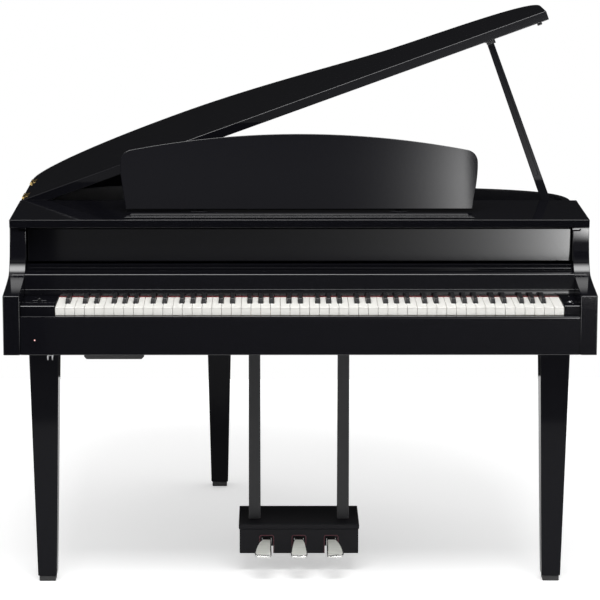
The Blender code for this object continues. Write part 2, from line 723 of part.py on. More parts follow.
def prop_place():
    """Distance of the prop from the lid's hinge along the lid, and the prop's length."""
    across = PROP_BASE_X - LID_PIVOT_X
    down = SHELF_TOP - PROP_BASE_Z
    reach = across * math.cos(LID_OPEN) - down * math.sin(LID_OPEN)
    drop = across * math.sin(LID_OPEN) + down * math.cos(LID_OPEN)
    return reach, drop - LID_THICKNESS - CUP_FLOOR - 2 * GAP


def build_lid(group, cutters, look):
    pivot = (LID_PIVOT_X, 0.0, SHELF_TOP)
    slab = prism_mesh("lid", plan(wing_path(LID_FRONT)), SHELF_TOP - LID_THICKNESS, SHELF_TOP)
    lid = hang(place("lid", slab, look["black"], group), pivot)
    lid.rotation_euler = (0, -LID_OPEN, 0)
    ease_edges(lid, WIDE_EDGE, segments=2, angle=60.0)
    bumper = cutter_of("lid_bumper", round_bar("lid_bumper", BUMPER_RADIUS, 2 * BUMPER_HEIGHT, "Z", 16),
                       (BUMPER_X - LID_PIVOT_X, along(BUMPER_Y), -LID_THICKNESS))
    bumper.parent = lid
    join(lid, bumper, cutters)
    notch_half = KNUCKLE_LENGTH / 2 + KNUCKLE_CLEARANCE
    for index, place_y in enumerate(LID_HINGE_PLACES):
        name = "lid_hinge_%s" % ("front", "rear")[index]
        y = along(place_y)
        low = (-0.020, y - notch_half, -LID_THICKNESS - 0.010)
        high = (HINGE_LEAF / 2 + 0.003, y + notch_half, 0.010)
        notch = cutter_of(name + "_notch", box_mesh(name + "_notch", low, high))
        notch.parent = lid
        cut(lid, notch, cutters)
        half_long = KNUCKLE_LENGTH / 2
        leaf = box_between(name, (LID_PIVOT_X - HINGE_LEAF / 2, y - half_long, RIM_TOP + SEAT),
                           (LID_PIVOT_X + HINGE_LEAF / 2, y + half_long, SHELF_TOP), look["brass"], group)
        knuckle = round_bar(name + "_knuckle", KNUCKLE_RADIUS, KNUCKLE_LENGTH, "Y")
        join(leaf, cutter_of(name + "_knuckle", knuckle, (LID_PIVOT_X, y, SHELF_TOP)), cutters)

    reach, length = prop_place()
    y = along(PROP_Y)
    floor_top = -LID_THICKNESS - GAP
    wall_low = floor_top - CUP_FLOOR - CUP_DEPTH
    side = PROP_THICKNESS / 2 + CUP_CLEARANCE
    stop = PROP_WIDTH_HIGH / 2 + CUP_CLEARANCE
    cup_mesh = box_mesh("prop_cup", (reach - stop - CUP_WALL, y - side - CUP_WALL, floor_top - CUP_FLOOR),
                        (reach + stop + CUP_WALL, y + side + CUP_WALL, floor_top))
    cup = place("prop_cup", cup_mesh, look["brass"], group, pivot, (0, -LID_OPEN, 0))
    far = reach + stop + CUP_WALL
    wall_high = floor_top - CUP_FLOOR / 3
    walls = {
        "cup_front": ((reach - stop, y - side - CUP_WALL, wall_low), (far, y - side, wall_high)),
        "cup_back": ((reach - stop, y + side, wall_low), (far, y + side + CUP_WALL, wall_high)),
        "cup_stop": ((reach + stop, y - side - CUP_WALL / 2, wall_low),
                     (far, y + side + CUP_WALL / 2, wall_high)),
    }
    for name, (low, high) in walls.items():
        wall = cutter_of(name, box_mesh(name, low, high))
        wall.parent = cup
        join(cup, wall, cutters)

    foot = PROP_WIDTH_LOW / 2
    outline = [(foot * math.sin(math.radians(d)), -foot * math.cos(math.radians(d)))
               for d in range(-90, 91, 30)]
    outline += [(PROP_WIDTH_HIGH / 2, length), (-PROP_WIDTH_HIGH / 2, length)]
    half = PROP_THICKNESS / 2
    prop = place("lid_prop", prism_mesh("lid_prop", outline, -half, half, "XZ"), look["black"], group,
                 (PROP_BASE_X, y, PROP_BASE_Z), (0, -LID_OPEN, 0))
    ease_edges(prop, SMALL_EDGE, angle=50.0)
    eye = cutter_of("prop_eye", round_bar("prop_eye", PROP_PIN + PIN_CLEARANCE, 3 * PROP_THICKNESS, "Y"),
                    (PROP_BASE_X, y, PROP_BASE_Z))
    cut(prop, eye, cutters)
    flute_half = FLUTE_WIDTH / 2
    groove = [(flute_half * math.cos(a), FLUTE_START + flute_half * math.sin(a))
              for a in (math.radians(d) for d in range(180, 361, 30))]
    groove_top = length - CUP_DEPTH - CUP_WALL
    groove += [(flute_half, groove_top), (-flute_half, groove_top)]
    flute = cutter_of("prop_flute", prism_mesh("prop_flute", groove, -half - 0.002, FLUTE_DEPTH - half, "XZ"))
    flute.parent = prop
    cut(prop, flute, cutters)

    inside = half + BRACKET_CLEARANCE
    outside = inside + BRACKET_WALL
    base = DECK_TOP + SEAT
    floor = base + BRACKET_WALL
    top = PROP_BASE_Z + BRACKET_RISE
    channel = [(-outside, base), (outside, base), (outside, top), (inside, top), (inside, floor),
               (-inside, floor), (-inside, top), (-outside, top)]
    channel = [(y + a, z) for a, z in channel]
    low_x = PROP_BASE_X - BRACKET_LENGTH / 2
    bracket_mesh = prism_mesh("prop_bracket", channel, low_x, low_x + BRACKET_LENGTH, "YZ")
    bracket = place("prop_bracket", bracket_mesh, look["brass"], group)
    pin = cutter_of("prop_pin", round_bar("prop_pin", PROP_PIN, 2 * outside - 0.001, "Y"),
                    (PROP_BASE_X, y, PROP_BASE_Z))
    join(bracket, pin, cutters)


def rest_outline():
    """The music rest face on: a long flat board with round shoulders under a shallow arch."""
    side = on_curve(((REST_HALF_BOTTOM, 0.0), (REST_HALF_BOTTOM + 0.006, 0.040), (REST_HALF_WIDE, 0.080),
                     (REST_HALF_WIDE, 0.118)), 4)
    shoulder_x = REST_HALF_WIDE - REST_CORNER
    side += on_curve(((REST_HALF_WIDE, 0.118), (REST_HALF_WIDE, 0.140), (shoulder_x + 0.016, REST_SHOULDER),
                      (shoulder_x, REST_SHOULDER + 0.002)), 6)
    rise = REST_HEIGHT - REST_SHOULDER - 0.002
    radius = (shoulder_x ** 2 + rise ** 2) / (2 * rise)
    steps = 7
    arch = []
    for index in range(steps):
        x = shoulder_x * (1 - index / steps)
        arch.append(Vector((x, REST_HEIGHT - radius + math.sqrt(radius ** 2 - x ** 2))))
    right = [tuple(point) for point in side + arch]
    left = [(-x, z) for x, z in reversed(right)]
    return right + [(0.0, REST_HEIGHT)] + left


def build_music_rest(group, cutters, look):
    pivot = Vector((0.0, along(REST_BASE_Y), REST_BASE_Z))
    mesh = prism_mesh("music_rest", rest_outline(), -REST_THICKNESS, 0.0, "XZ")
    rest = place("music_rest", mesh, look["black"], group, pivot, (-REST_LEAN, 0, 0))
    ease_edges(rest, BOARD_EDGE, angle=50.0)
    ear = STRUT_WIDTH / 2 + STRUT_CLEARANCE
    for side, sign in (("left", -1), ("right", 1)):
        centre = sign * STRUT_SPACING / 2
        for edge, low in (("inner", centre + ear), ("outer", centre - ear - EAR_THICKNESS)):
            name = "%s_%s_ear" % (side, edge)
            shape = box_mesh(name, (low, -REST_THICKNESS / 3, STRUT_REACH - EAR_HALF),
                             (low + EAR_THICKNESS, EAR_DEPTH, STRUT_REACH + EAR_HALF))
            lug = cutter_of(name, shape)
            lug.parent = rest
            join(rest, lug, cutters)
        hinge = pivot + Matrix.Rotation(-REST_LEAN, 3, "X") @ Vector((centre, STRUT_PIVOT_BACK, STRUT_REACH))
        end = STRUT_THICKNESS / 2
        foot = SHELF_TOP + SEAT
        length = (hinge.z - foot - end) / math.sin(STRUT_SLOPE)
        outline = [(end * math.sin(math.radians(d)), end * math.cos(math.radians(d)))
                   for d in range(-90, 91, 30)]
        outline += [(end * math.cos(math.radians(d)), -length - end * math.sin(math.radians(d)))
                    for d in range(0, 181, 30)]
        bar = prism_mesh(side + "_rest_strut", outline, -STRUT_WIDTH / 2, STRUT_WIDTH / 2, "YZ")
        place(side + "_rest_strut", bar, look["brass"], group, hinge, (math.pi / 2 - STRUT_SLOPE, 0, 0))

    low = SHELF_TOP + SEAT
    plate = box_between("music_ledge", (-LEDGE_HALF, along(LEDGE_FRONT), low),
                        (LEDGE_HALF, along(REST_BASE_Y + 0.006), low + LEDGE_THICKNESS), look["black"], group)
    stop = box_mesh("ledge_stop", (-STOP_HALF, along(STOP_FRONT), low + 0.001),
                    (STOP_HALF, along(STOP_FRONT + STOP_DEPTH), low + STOP_HEIGHT))
    join(plate, cutter_of("ledge_stop", stop), cutters)
    for side, sign in (("left", -1), ("right", 1)):
        centre = sign * STRUT_SPACING / 2
        lug = box_mesh(side + "_rest_lug", (centre - LUG_HALF, along(REST_BASE_Y - 0.006), low + 0.001),
                       (centre + LUG_HALF, along(REST_BASE_Y + 0.004), REST_BASE_Z - 0.0005))
        join(plate, cutter_of(side + "_rest_lug", lug), cutters)


def build_key_cover(group, look):
    """Two leaves that stand folded above the name board and unfold forwards over the keys."""
    half = CASE_WIDTH / 2 - ARM_WIDTH - COVER_SIDE_GAP
    base = (0.0, along(COVER_HINGE_Y), COVER_HINGE_Z)
    back = box_mesh("key_cover_panel", (-half, 0.0003, 0.0), (half, COVER_THICKNESS, COVER_HEIGHT))
    panel = place("key_cover_panel", back, look["black"], group, base)
    ease_edges(panel, SMALL_EDGE)
    top = (0.0, along(COVER_HINGE_Y), COVER_HINGE_Z + COVER_HEIGHT)
    front = box_mesh("key_cover_leaf", (-half, -COVER_THICKNESS, -COVER_HEIGHT), (half, -0.0003, 0.0))
    leaf = place("key_cover_leaf", front, look["black"], group, top)
    ease_edges(leaf, SMALL_EDGE)


def build_legs(group, look):
    places = (("left_front", -FRONT_LEG_X, FRONT_LEG_Y), ("right_front", FRONT_LEG_X, FRONT_LEG_Y),
              ("rear", REAR_LEG_X, REAR_LEG_Y))
    for name, x, y in places:
        spot = (x, along(y), 0.0)
        leg_mesh = frustum_mesh(name + "_leg", LEG_LOW_SIZE, LEG_TOP_SIZE,
                                FOOT_HEIGHT + GAP, CASE_BOTTOM - GAP)
        leg = place(name + "_leg", leg_mesh, look["black"], group, spot)
        ease_edges(leg, BOARD_EDGE)
        foot_mesh = frustum_mesh(name + "_foot", FOOT_SIZE, FOOT_SIZE, 0.0, FOOT_HEIGHT)
        foot = place(name + "_foot", foot_mesh, look["plastic"], group, spot)
        ease_edges(foot, SMALL_EDGE)


def oval(centre, half_width, half_height, y, sides=14):
    """A rounded oblong section across Y."""
    ring = []
    for index in range(sides):
        angle = 2 * math.pi * index / sides
        a, b = math.cos(angle), math.sin(angle)
        x = math.copysign(abs(a) ** 0.55, a) * half_width
        z = math.copysign(abs(b) ** 0.55, b) * half_height
        ring.append(Vector((centre[0] + x, y, centre[1] + z)))
    return ring


def loft_mesh(name, rings):
    """A skin through sections with the same number of points, closed at both ends."""
    form = bmesh.new()
    rows = [[form.verts.new(point) for point in ring] for ring in rings]
    for before, after in zip(rows, rows[1:]):
        for index in range(len(before)):
            following = (index + 1) % len(before)
            form.faces.new((before[index], before[following], after[following], after[index]))
    form.faces.new(rows[0])
    form.faces.new(rows[-1])
    bmesh.ops.recalc_face_normals(form, faces=form.faces)
    mesh = bpy.data.meshes.new(name)
    form.to_mesh(mesh)
    form.free()
    return mesh


def pedal_mesh(name, flare):
    """One pedal about its axle: a neck that widens and drops into a rounded paddle, flared to one side.

    Each section has its distance before the axle, half width, half height and height above the axle.
    """
    narrow, wide = PEDAL_NECK / 2, PEDAL_WIDTH / 2
    thin = PEDAL_THICKNESS / 2
    reach = PEDAL_PIVOT_Y - LYRE_FRONT
    hub = [(-0.009, narrow, 0.0050, 0.0), (0.0, narrow, 0.0085, 0.0), (0.012, narrow, 0.0075, 0.0)]
    neck = [(0.030, narrow, thin, 0.0010), (reach - 0.010, narrow, thin, 0.0020),
            (reach + 0.010, narrow + 0.0015, thin, 0.0005)]
    paddle = [(reach + 0.026, (narrow + wide) / 2, thin, -0.0030),
              (reach + 0.044, narrow * 0.15 + wide * 0.85, thin, -0.0075),
              (reach + PEDAL_LENGTH - 0.023, wide, thin, -0.0120),
              (reach + PEDAL_LENGTH - 0.011, wide * 0.95, thin * 0.95, -0.0145),
              (reach + PEDAL_LENGTH - 0.003, wide * 0.78, thin * 0.85, -0.0160),
              (reach + PEDAL_LENGTH, wide * 0.5, thin * 0.5, -0.0165)]
    rings = []
    for distance, half_width, half_height, height in hub + neck + paddle:
        shift = flare * max(0.0, half_width - narrow)
        rings.append(oval((shift, height), half_width, half_height, -distance))
    return loft_mesh(name, rings)


def build_lyre(group, cutters, look):
    half = LYRE_WIDTH / 2
    front, back = along(LYRE_FRONT), along(LYRE_FRONT + LYRE_DEPTH)
    plate_low = LYRE_TOP - LYRE_PLATE
    case = box_between("pedal_box", (-half, front, LYRE_BOTTOM), (half, back, plate_low - GAP),
                       look["board"], group)
    ease_edges(case, SMALL_EDGE)
    room = box_mesh("pedal_room", (-half + LYRE_WALL, front + LYRE_WALL, LYRE_BOTTOM - 0.010),
                    (half - LYRE_WALL, back - LYRE_WALL, LYRE_TOP))
    cut(case, cutter_of("pedal_room", room), cutters)
    lid = box_between("pedal_box_top", (-half - LYRE_OVERHANG, front - LYRE_OVERHANG, plate_low),
                      (half + LYRE_OVERHANG, back, LYRE_TOP), look["board"], group)
    ease_edges(lid, SMALL_EDGE)
    slot_half = PEDAL_NECK / 2 + SLOT_CLEARANCE
    for name, sign in (("left", -1), ("centre", 0), ("right", 1)):
        x = sign * PEDAL_SPACING
        slot = box_mesh(name + "_slot", (x - slot_half, front - 0.010, LYRE_BOTTOM - 0.010),
                        (x + slot_half, front + LYRE_WALL + 0.010, SLOT_TOP))
        cut(case, cutter_of(name + "_slot", slot), cutters)
        spot = (x, along(PEDAL_PIVOT_Y), PEDAL_PIVOT_Z)
        pedal = place(name + "_pedal", pedal_mesh(name + "_pedal", sign), look["chrome"], group, spot)
        smooth(pedal)
        bore = round_bar(name + "_pedal_bore", AXLE_RADIUS + AXLE_CLEARANCE, 2 * PEDAL_NECK, "X")
        cut(pedal, cutter_of(name + "_pedal_bore", bore, spot), cutters)
    inside = LYRE_WIDTH - 2 * LYRE_WALL - 2 * GAP
    place("pedal_axle", round_bar("pedal_axle", AXLE_RADIUS, inside, "X"), look["steel"], group,
          (0.0, along(PEDAL_PIVOT_Y), PEDAL_PIVOT_Z))
    for name, sign in (("left_lyre_post", -1), ("right_lyre_post", 1)):
        mesh = frustum_mesh(name, POST_SIZE, POST_SIZE - 0.001, LYRE_TOP + GAP, CASE_BOTTOM - GAP)
        post = place(name, mesh, look["post"], group, (sign * POST_X, along(POST_FRONT) + POST_SIZE / 2, 0.0))
        ease_edges(post, SMALL_EDGE)


def build_jack_box(group, cutters, look):
    top = CASE_BOTTOM - GAP
    low, high = JACK_BOX_LEFT, JACK_BOX_LEFT + JACK_BOX_WIDTH
    bottom = top - JACK_BOX_HEIGHT
    corner = JACK_BOX_HEIGHT * 0.45
    outline = [(low, top), (low, bottom + corner), (low + corner, bottom), (high - corner, bottom),
               (high, bottom + corner), (high, top)]
    front = along(JACK_BOX_FRONT)
    mesh = prism_mesh("jack_box", outline, front, front + JACK_BOX_DEPTH, "XZ")
    ease_edges(place("jack_box", mesh, look["plastic"], group), 0.0006)

    stem, bend, flange = HOOK_WIRE, HOOK_BEND, HOOK_FLANGE
    y = HOOK_FRONT + 0.030
    centre_z = top - HOOK_DROP
    outer = [(y - bend - bend * math.sin(a), centre_z - bend * math.cos(a))
             for a in (math.radians(d) for d in range(-90, 91, 30))]
    inner = [(y - bend - (bend - stem) * math.sin(a), centre_z - (bend - stem) * math.cos(a))
             for a in (math.radians(d) for d in range(90, -91, -30))]
    lip = centre_z + bend / 2
    outline = [(y + 0.012, top), (y + 0.012, top - flange), (y, top - flange)] + outer
    outline += [(y - 2 * bend, lip), (y - 2 * bend + stem, lip)] + inner
    outline += [(y - stem, top - flange - 0.0006), (y - stem - 0.004, top - flange - 0.0006),
                (y - stem - 0.004, top)]
    outline = [(along(a), z) for a, z in outline]
    hook = prism_mesh("headphone_hook", outline, HOOK_X - HOOK_WIDTH / 2, HOOK_X + HOOK_WIDTH / 2, "YZ")
    hook = place("headphone_hook", hook, look["steel"], group)
    near, far = along(y - 2 * bend - 0.002), along(y + 0.002)
    middle = along(y - bend)
    tip = centre_z + 0.001
    opening = [(far, top - 0.005), (middle, top - 0.005), (middle, tip), (near, tip),
               (near, top - 0.030), (far, top - 0.030)]
    gap_half = HOOK_WIDTH / 2 - HOOK_WIRE
    between = prism_mesh("hook_opening", opening, HOOK_X - gap_half, HOOK_X + gap_half, "YZ")
    cut(hook, cutter_of("hook_opening", between), cutters)


def main():
    clear_scene()
    group = new_collection("digital_grand_piano")
    cutters = new_collection("cutters")
    look = {
        "black": finish_of("polished_black", (0.012, 0.012, 0.015), 0.06),
        "board": finish_of("painted_board", (0.015, 0.015, 0.018), 0.35),
        "post": finish_of("satin_black", (0.030, 0.030, 0.033), 0.40),
        "plastic": finish_of("black_plastic", (0.015, 0.015, 0.016), 0.45),
        "ivory": finish_of("white_keytop", (0.830, 0.820, 0.780), 0.35),
        "ebony": finish_of("black_keytop", (0.012, 0.012, 0.013), 0.40),
        "felt": finish_of("red_felt", (0.350, 0.010, 0.020), 0.95),
        "cloth": finish_of("speaker_cloth", (0.035, 0.035, 0.037), 0.90),
        "wood": finish_of("frame_wood", (0.480, 0.310, 0.160), 0.60),
        "driver": finish_of("driver_black", (0.020, 0.020, 0.020), 0.60),
        "brass": finish_of("brass", (0.600, 0.430, 0.170), 0.30, 1.0),
        "chrome": finish_of("polished_metal", (0.750, 0.750, 0.740), 0.12, 1.0),
        "steel": finish_of("steel", (0.450, 0.450, 0.450), 0.35, 1.0),
    }
    build_case(group, cutters, look)
    build_keyboard_frame(group, cutters, look)
    build_name_board(group, look)
    build_keys(group, cutters, look)
    build_key_cover(group, look)
    build_music_rest(group, cutters, look)
    build_lid(group, cutters, look)
    build_legs(group, look)
    build_lyre(group, cutters, look)
    build_jack_box(group, cutters, look)
    for item in cutters.objects:
        item.hide_render = True
    cutters.hide_render = True


if __name__ == "__main__":
    main()
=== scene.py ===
"""A digital grand piano in polished black, with its lid up, in a plain pale studio.

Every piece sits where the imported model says. Metres, +Z up, +X to the player's right, +Y to the tail.
"""

import json
import math

import bmesh
import bpy
from bpy.props import FloatProperty, FloatVectorProperty, IntProperty, PointerProperty
from mathutils import Matrix, Vector

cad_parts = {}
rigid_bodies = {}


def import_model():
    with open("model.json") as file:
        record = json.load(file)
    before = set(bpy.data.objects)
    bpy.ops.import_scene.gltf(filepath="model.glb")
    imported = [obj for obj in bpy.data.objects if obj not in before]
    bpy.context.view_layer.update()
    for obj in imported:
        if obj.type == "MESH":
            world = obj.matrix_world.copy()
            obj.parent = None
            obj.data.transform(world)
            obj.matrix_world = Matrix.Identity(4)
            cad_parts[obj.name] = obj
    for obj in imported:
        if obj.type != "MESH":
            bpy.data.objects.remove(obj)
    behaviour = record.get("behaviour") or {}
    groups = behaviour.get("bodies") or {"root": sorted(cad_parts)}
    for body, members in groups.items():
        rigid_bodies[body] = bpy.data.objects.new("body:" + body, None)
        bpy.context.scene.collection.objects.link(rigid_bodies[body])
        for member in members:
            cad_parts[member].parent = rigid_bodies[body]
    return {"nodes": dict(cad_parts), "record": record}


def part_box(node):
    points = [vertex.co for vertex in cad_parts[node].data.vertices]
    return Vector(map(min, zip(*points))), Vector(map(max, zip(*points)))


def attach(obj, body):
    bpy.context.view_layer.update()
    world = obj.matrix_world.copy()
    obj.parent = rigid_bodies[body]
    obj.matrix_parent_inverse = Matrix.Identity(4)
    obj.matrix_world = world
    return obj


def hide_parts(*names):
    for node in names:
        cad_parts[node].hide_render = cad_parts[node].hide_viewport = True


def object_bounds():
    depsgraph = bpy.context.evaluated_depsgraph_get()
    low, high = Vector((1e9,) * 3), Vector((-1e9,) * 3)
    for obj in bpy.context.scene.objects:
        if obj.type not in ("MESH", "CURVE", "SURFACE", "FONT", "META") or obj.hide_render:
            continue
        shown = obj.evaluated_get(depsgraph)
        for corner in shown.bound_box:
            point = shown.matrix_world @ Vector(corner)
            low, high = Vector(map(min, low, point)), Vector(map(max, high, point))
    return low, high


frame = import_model()
CAD_BOX = [list(corner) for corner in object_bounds()]

bl_info = {
    "name": "Digital Grand Piano",
    "version": (1, 0, 0),
    "blender": (4, 5, 0),
    "location": "3D View > Sidebar > Piano",
    "description": "Builds a digital grand piano piece by piece on its packed model",
    "category": "Add Mesh",
}


class StudioSettings(bpy.types.PropertyGroup):
    eye: FloatVectorProperty(
        name="Camera place", description="Where the camera stands", subtype="TRANSLATION", unit="LENGTH",
        default=(-0.0667, -6.8971, 2.0366))
    pitch: FloatProperty(
        name="Camera tilt", description="How far the camera looks down", subtype="ANGLE", default=0.16723)
    turn: FloatProperty(
        name="Camera turn", description="How far the camera looks to the right", subtype="ANGLE", default=0.0023)
    lens: FloatProperty(
        name="Lens", description="Focal length on a 36 mm sensor, in millimetres", default=161.24)
    shift: FloatVectorProperty(
        name="Lens shift", description="Sideways and upward shift of the picture", size=2, default=(0.0358, -0.15))
    floor_colour: FloatVectorProperty(
        name="Floor", description="Colour of the floor", subtype="COLOR", default=(0.86, 0.86, 0.86))
    floor_size: FloatProperty(
        name="Floor size", description="Side of the square floor", unit="LENGTH", default=3.6)
    sky: FloatProperty(
        name="Sky", description="Strength of the light from all round", default=0.70)
    front_lamp: FloatProperty(
        name="Front lamp", description="Power of the soft lamp before the piano, in watts", default=125.0)


class LacquerSettings(bpy.types.PropertyGroup):
    black: FloatVectorProperty(
        name="Lacquer", description="Colour under the polish", subtype="COLOR", default=(0.0045, 0.0045, 0.0062))
    gloss: FloatProperty(
        name="Polish", description="Roughness of the polished lacquer", default=0.045)
    # Painted light and shade: the legs carry the same polished lacquer as the case; this copy is painted a little
    # lighter, and its reflection is turned down so that the floor's light does not show in the legs.
    leg: FloatVectorProperty(
        name="Leg lacquer", description="Colour of the legs", subtype="COLOR", default=(0.0085, 0.0085, 0.0105))
    satin: FloatVectorProperty(
        name="Satin paint", description="Colour of the pedal box and the underside", subtype="COLOR",
        default=(0.0052, 0.0050, 0.0066))
    post: FloatVectorProperty(
        name="Post paint", description="Colour of the lyre posts", subtype="COLOR", default=(0.014, 0.014, 0.0155))
    edge: FloatProperty(
        name="Edge radius", description="Rounding of the panels' edges", unit="LENGTH", default=0.0016)


class CaseSettings(bpy.types.PropertyGroup):
    wall: FloatProperty(
        name="Rim wall", description="Thickness of the bent side", unit="LENGTH", default=0.020)
    cleat_reach: FloatProperty(
        name="Cleat", description="How far the deck's cleat stands in from the rim", unit="LENGTH", default=0.012)
    lid_thickness: FloatProperty(
        name="Lid thickness", description="Thickness of the lid", unit="LENGTH", default=0.024)
    lid_open: FloatProperty(
        name="Lid angle", description="How far the lid stands open", subtype="ANGLE", default=math.radians(20.0))
    hinge_in: FloatProperty(
        name="Hinge line", description="Lid hinge line from the bass side", unit="LENGTH", default=0.004)
    knuckle_gap: FloatProperty(
        name="Knuckle gap", description="Room beside each hinge in the lid", unit="LENGTH", default=0.0015)
    bumper_radius: FloatProperty(
        name="Bumper radius", description="Radius of the lid's rubber bumper", unit="LENGTH", default=0.0062)
    bumper_height: FloatProperty(
        name="Bumper height", description="Height of the lid's rubber bumper", unit="LENGTH", default=0.0070)
    slip_strip: FloatProperty(
        name="Slip strip", description="Thin strip that closes the gap under the keys' fronts", unit="LENGTH",
        default=0.0034)
    arm_rise: FloatProperty(
        name="Arm rise", description="Where an arm stands up, behind its front", unit="LENGTH", default=0.203)
    arm_height: FloatProperty(
        name="Arm height", description="Height of an arm's low front", unit="LENGTH", default=0.146)
    notch_drop: FloatProperty(
        name="Notch drop", description="Top of an arm's notch below its top", unit="LENGTH", default=0.0035)
    notch_height: FloatProperty(
        name="Notch height", description="Height of an arm's notch", unit="LENGTH", default=0.0062)
    notch_width: FloatProperty(
        name="Notch width", description="Width of an arm's notch", unit="LENGTH", default=0.0205)

    def bumper_place(self, lid_front):
        """X and Y of the lid's bumper."""
        return CAD_BOX[1][0] - 0.0255, lid_front + 0.013


class BoardSettings(bpy.types.PropertyGroup):
    mirror: FloatProperty(
        name="Mirror face", description="Height of the upright face over the keys", unit="LENGTH", default=0.0157)
    lean: FloatProperty(
        name="Lean", description="How far the face above it leans back", unit="LENGTH", default=0.0060)
    nose: FloatProperty(
        name="Nose", description="Rounding of the nose over that face", unit="LENGTH", default=0.0040)
    nose_drop: FloatProperty(
        name="Nose place", description="Start of the nose below the board's top", unit="LENGTH", default=0.0158)
    bead: FloatProperty(
        name="Bead", description="Radius of the bead between the two faces", unit="LENGTH", default=0.0009)


class RestSettings(bpy.types.PropertyGroup):
    half_bottom: FloatProperty(
        name="Half width", description="Half of the rest's width at its foot", unit="LENGTH", default=0.4325)
    height: FloatProperty(
        name="Height", description="Height of the rest's arch", unit="LENGTH", default=0.192)
    thickness: FloatProperty(
        name="Thickness", description="Thickness of the rest", unit="LENGTH", default=0.012)
    lean: FloatProperty(
        name="Lean", description="How far the rest leans back", subtype="ANGLE", default=math.radians(20.0))
    foot_in: FloatProperty(
        name="Foot", description="Foot of the rest behind the top board's front", unit="LENGTH", default=0.107)
    foot_up: FloatProperty(
        name="Foot height", description="Foot of the rest above the top board", unit="LENGTH", default=0.007)
    strut_spacing: FloatProperty(
        name="Strut spacing", description="Distance between the two struts", unit="LENGTH", default=0.500)
    strut_reach: FloatProperty(
        name="Strut reach", description="Height of the struts' pins up the rest", unit="LENGTH", default=0.075)
    pin_back: FloatProperty(
        name="Pin", description="Struts' pins behind the rest's back", unit="LENGTH", default=0.0035)
    ear_inside: FloatProperty(
        name="Ear place", description="Half of the gap between two ears", unit="LENGTH", default=0.0086)
    ear_thickness: FloatProperty(
        name="Ear thickness", description="Thickness of an ear", unit="LENGTH", default=0.003)
    ear_depth: FloatProperty(
        name="Ear depth", description="How far an ear stands out", unit="LENGTH", default=0.0055)
    ear_half: FloatProperty(
        name="Ear half height", description="Half of an ear's height", unit="LENGTH", default=0.007)


class LyreSettings(bpy.types.PropertyGroup):
    wall: FloatProperty(
        name="Box wall", description="Thickness of the pedal box's walls", unit="LENGTH", default=0.012)
    spacing: FloatProperty(
        name="Pedal spacing", description="Distance between two pedals", unit="LENGTH", default=0.0815)
    neck: FloatProperty(
        name="Neck", description="Width of a pedal's neck", unit="LENGTH", default=0.022)
    pedal_width: FloatProperty(
        name="Pedal width", description="Width of a pedal's paddle", unit="LENGTH", default=0.042)
    pedal_thickness: FloatProperty(
        name="Pedal thickness", description="Thickness of a pedal", unit="LENGTH", default=0.009)
    pedal_length: FloatProperty(
        name="Pedal length", description="How far a pedal stands out of the box", unit="LENGTH", default=0.085)
    squareness: FloatProperty(
        name="Roundness", description="1 for an oval pedal section, less for a squarer one", default=0.42)
    plate_start: FloatProperty(
        name="Plate start", description="Back end of a pedal's plate before the box", unit="LENGTH", default=0.003)
    plate_margin: FloatProperty(
        name="Plate margin", description="From that plate's front end to the tip", unit="LENGTH", default=0.0075)
    plate_proud: FloatProperty(
        name="Plate proud", description="How far that plate stands proud", unit="LENGTH", default=0.0004)
    pivot_in: FloatProperty(
        name="Axle place", description="Axle behind the box's front", unit="LENGTH", default=0.100)
    bore: FloatProperty(
        name="Bore", description="Radius of the hole for the axle", unit="LENGTH", default=0.0053)
    slot_half: FloatProperty(
        name="Half slot", description="Half of a slot's width", unit="LENGTH", default=0.0185)
    slot_top: FloatProperty(
        name="Slot top", description="Top of a slot above the box's bottom", unit="LENGTH", default=0.048)
    slot_corner: FloatProperty(
        name="Slot corner", description="Rounding of a slot's top corners", unit="LENGTH", default=0.006)
    # Painted shade: the sheet behind each slot is a dark sheet that stands in for the shade inside the pedal box, so
    # that the floor does not show through the slot.
    shade_sheet_low: FloatProperty(
        name="Shade sheet bottom", description="Bottom of the curtain behind a slot", unit="LENGTH", default=0.016)
    shade_sheet_half: FloatProperty(
        name="Shade sheet opening", description="Half of the curtain's opening", unit="LENGTH", default=0.0116)
    shade_sheet_drop: FloatProperty(
        name="Shade sheet drop", description="Top of that opening below the slot's top", unit="LENGTH", default=0.010)
    felt: FloatProperty(
        name="Slot felt thickness", description="Thickness of the felt round a slot", unit="LENGTH", default=0.0020)
    felt_proud: FloatProperty(
        name="Felt proud", description="How far that felt stands before the box", unit="LENGTH", default=0.0004)


class KeySettings(bpy.types.PropertyGroup):
    white: FloatVectorProperty(
        name="White keys", description="Colour of the white keys", subtype="COLOR", default=(0.84, 0.83, 0.79))
    black: FloatVectorProperty(
        name="Black keys", description="Colour of the black keys", subtype="COLOR", default=(0.006, 0.006, 0.007))
    felt: FloatVectorProperty(
        name="Felt", description="Colour of the felt behind the keys", subtype="COLOR", default=(0.15, 0.004, 0.008))
    slot_felt: FloatVectorProperty(
        name="Slot felt", description="Colour of the felt round the pedals", subtype="COLOR",
        default=(0.060, 0.004, 0.012))
    rounding: FloatProperty(
        name="Key rounding", description="Rounding of a white key's edges", unit="LENGTH", default=0.0007)
    lip: FloatProperty(
        name="Lip", description="How far a white key's top stands over its front", unit="LENGTH", default=0.0004)
    plate: FloatProperty(
        name="Top plate", description="Thickness of a white key's top", unit="LENGTH", default=0.0028)
    black_rounding: FloatProperty(
        name="Black rounding", description="Rounding of a black key's edges", unit="LENGTH", default=0.0012)
    taper: FloatProperty(
        name="Black taper", description="Share of its width that a black key loses at the top", default=0.16)
    slope: FloatProperty(
        name="Black slope", description="How far a black key's front leans back", unit="LENGTH", default=0.006)
    head_gap: FloatProperty(
        name="Board gap", description="Gap between the black keys and the name board", unit="LENGTH",
        default=0.0012)


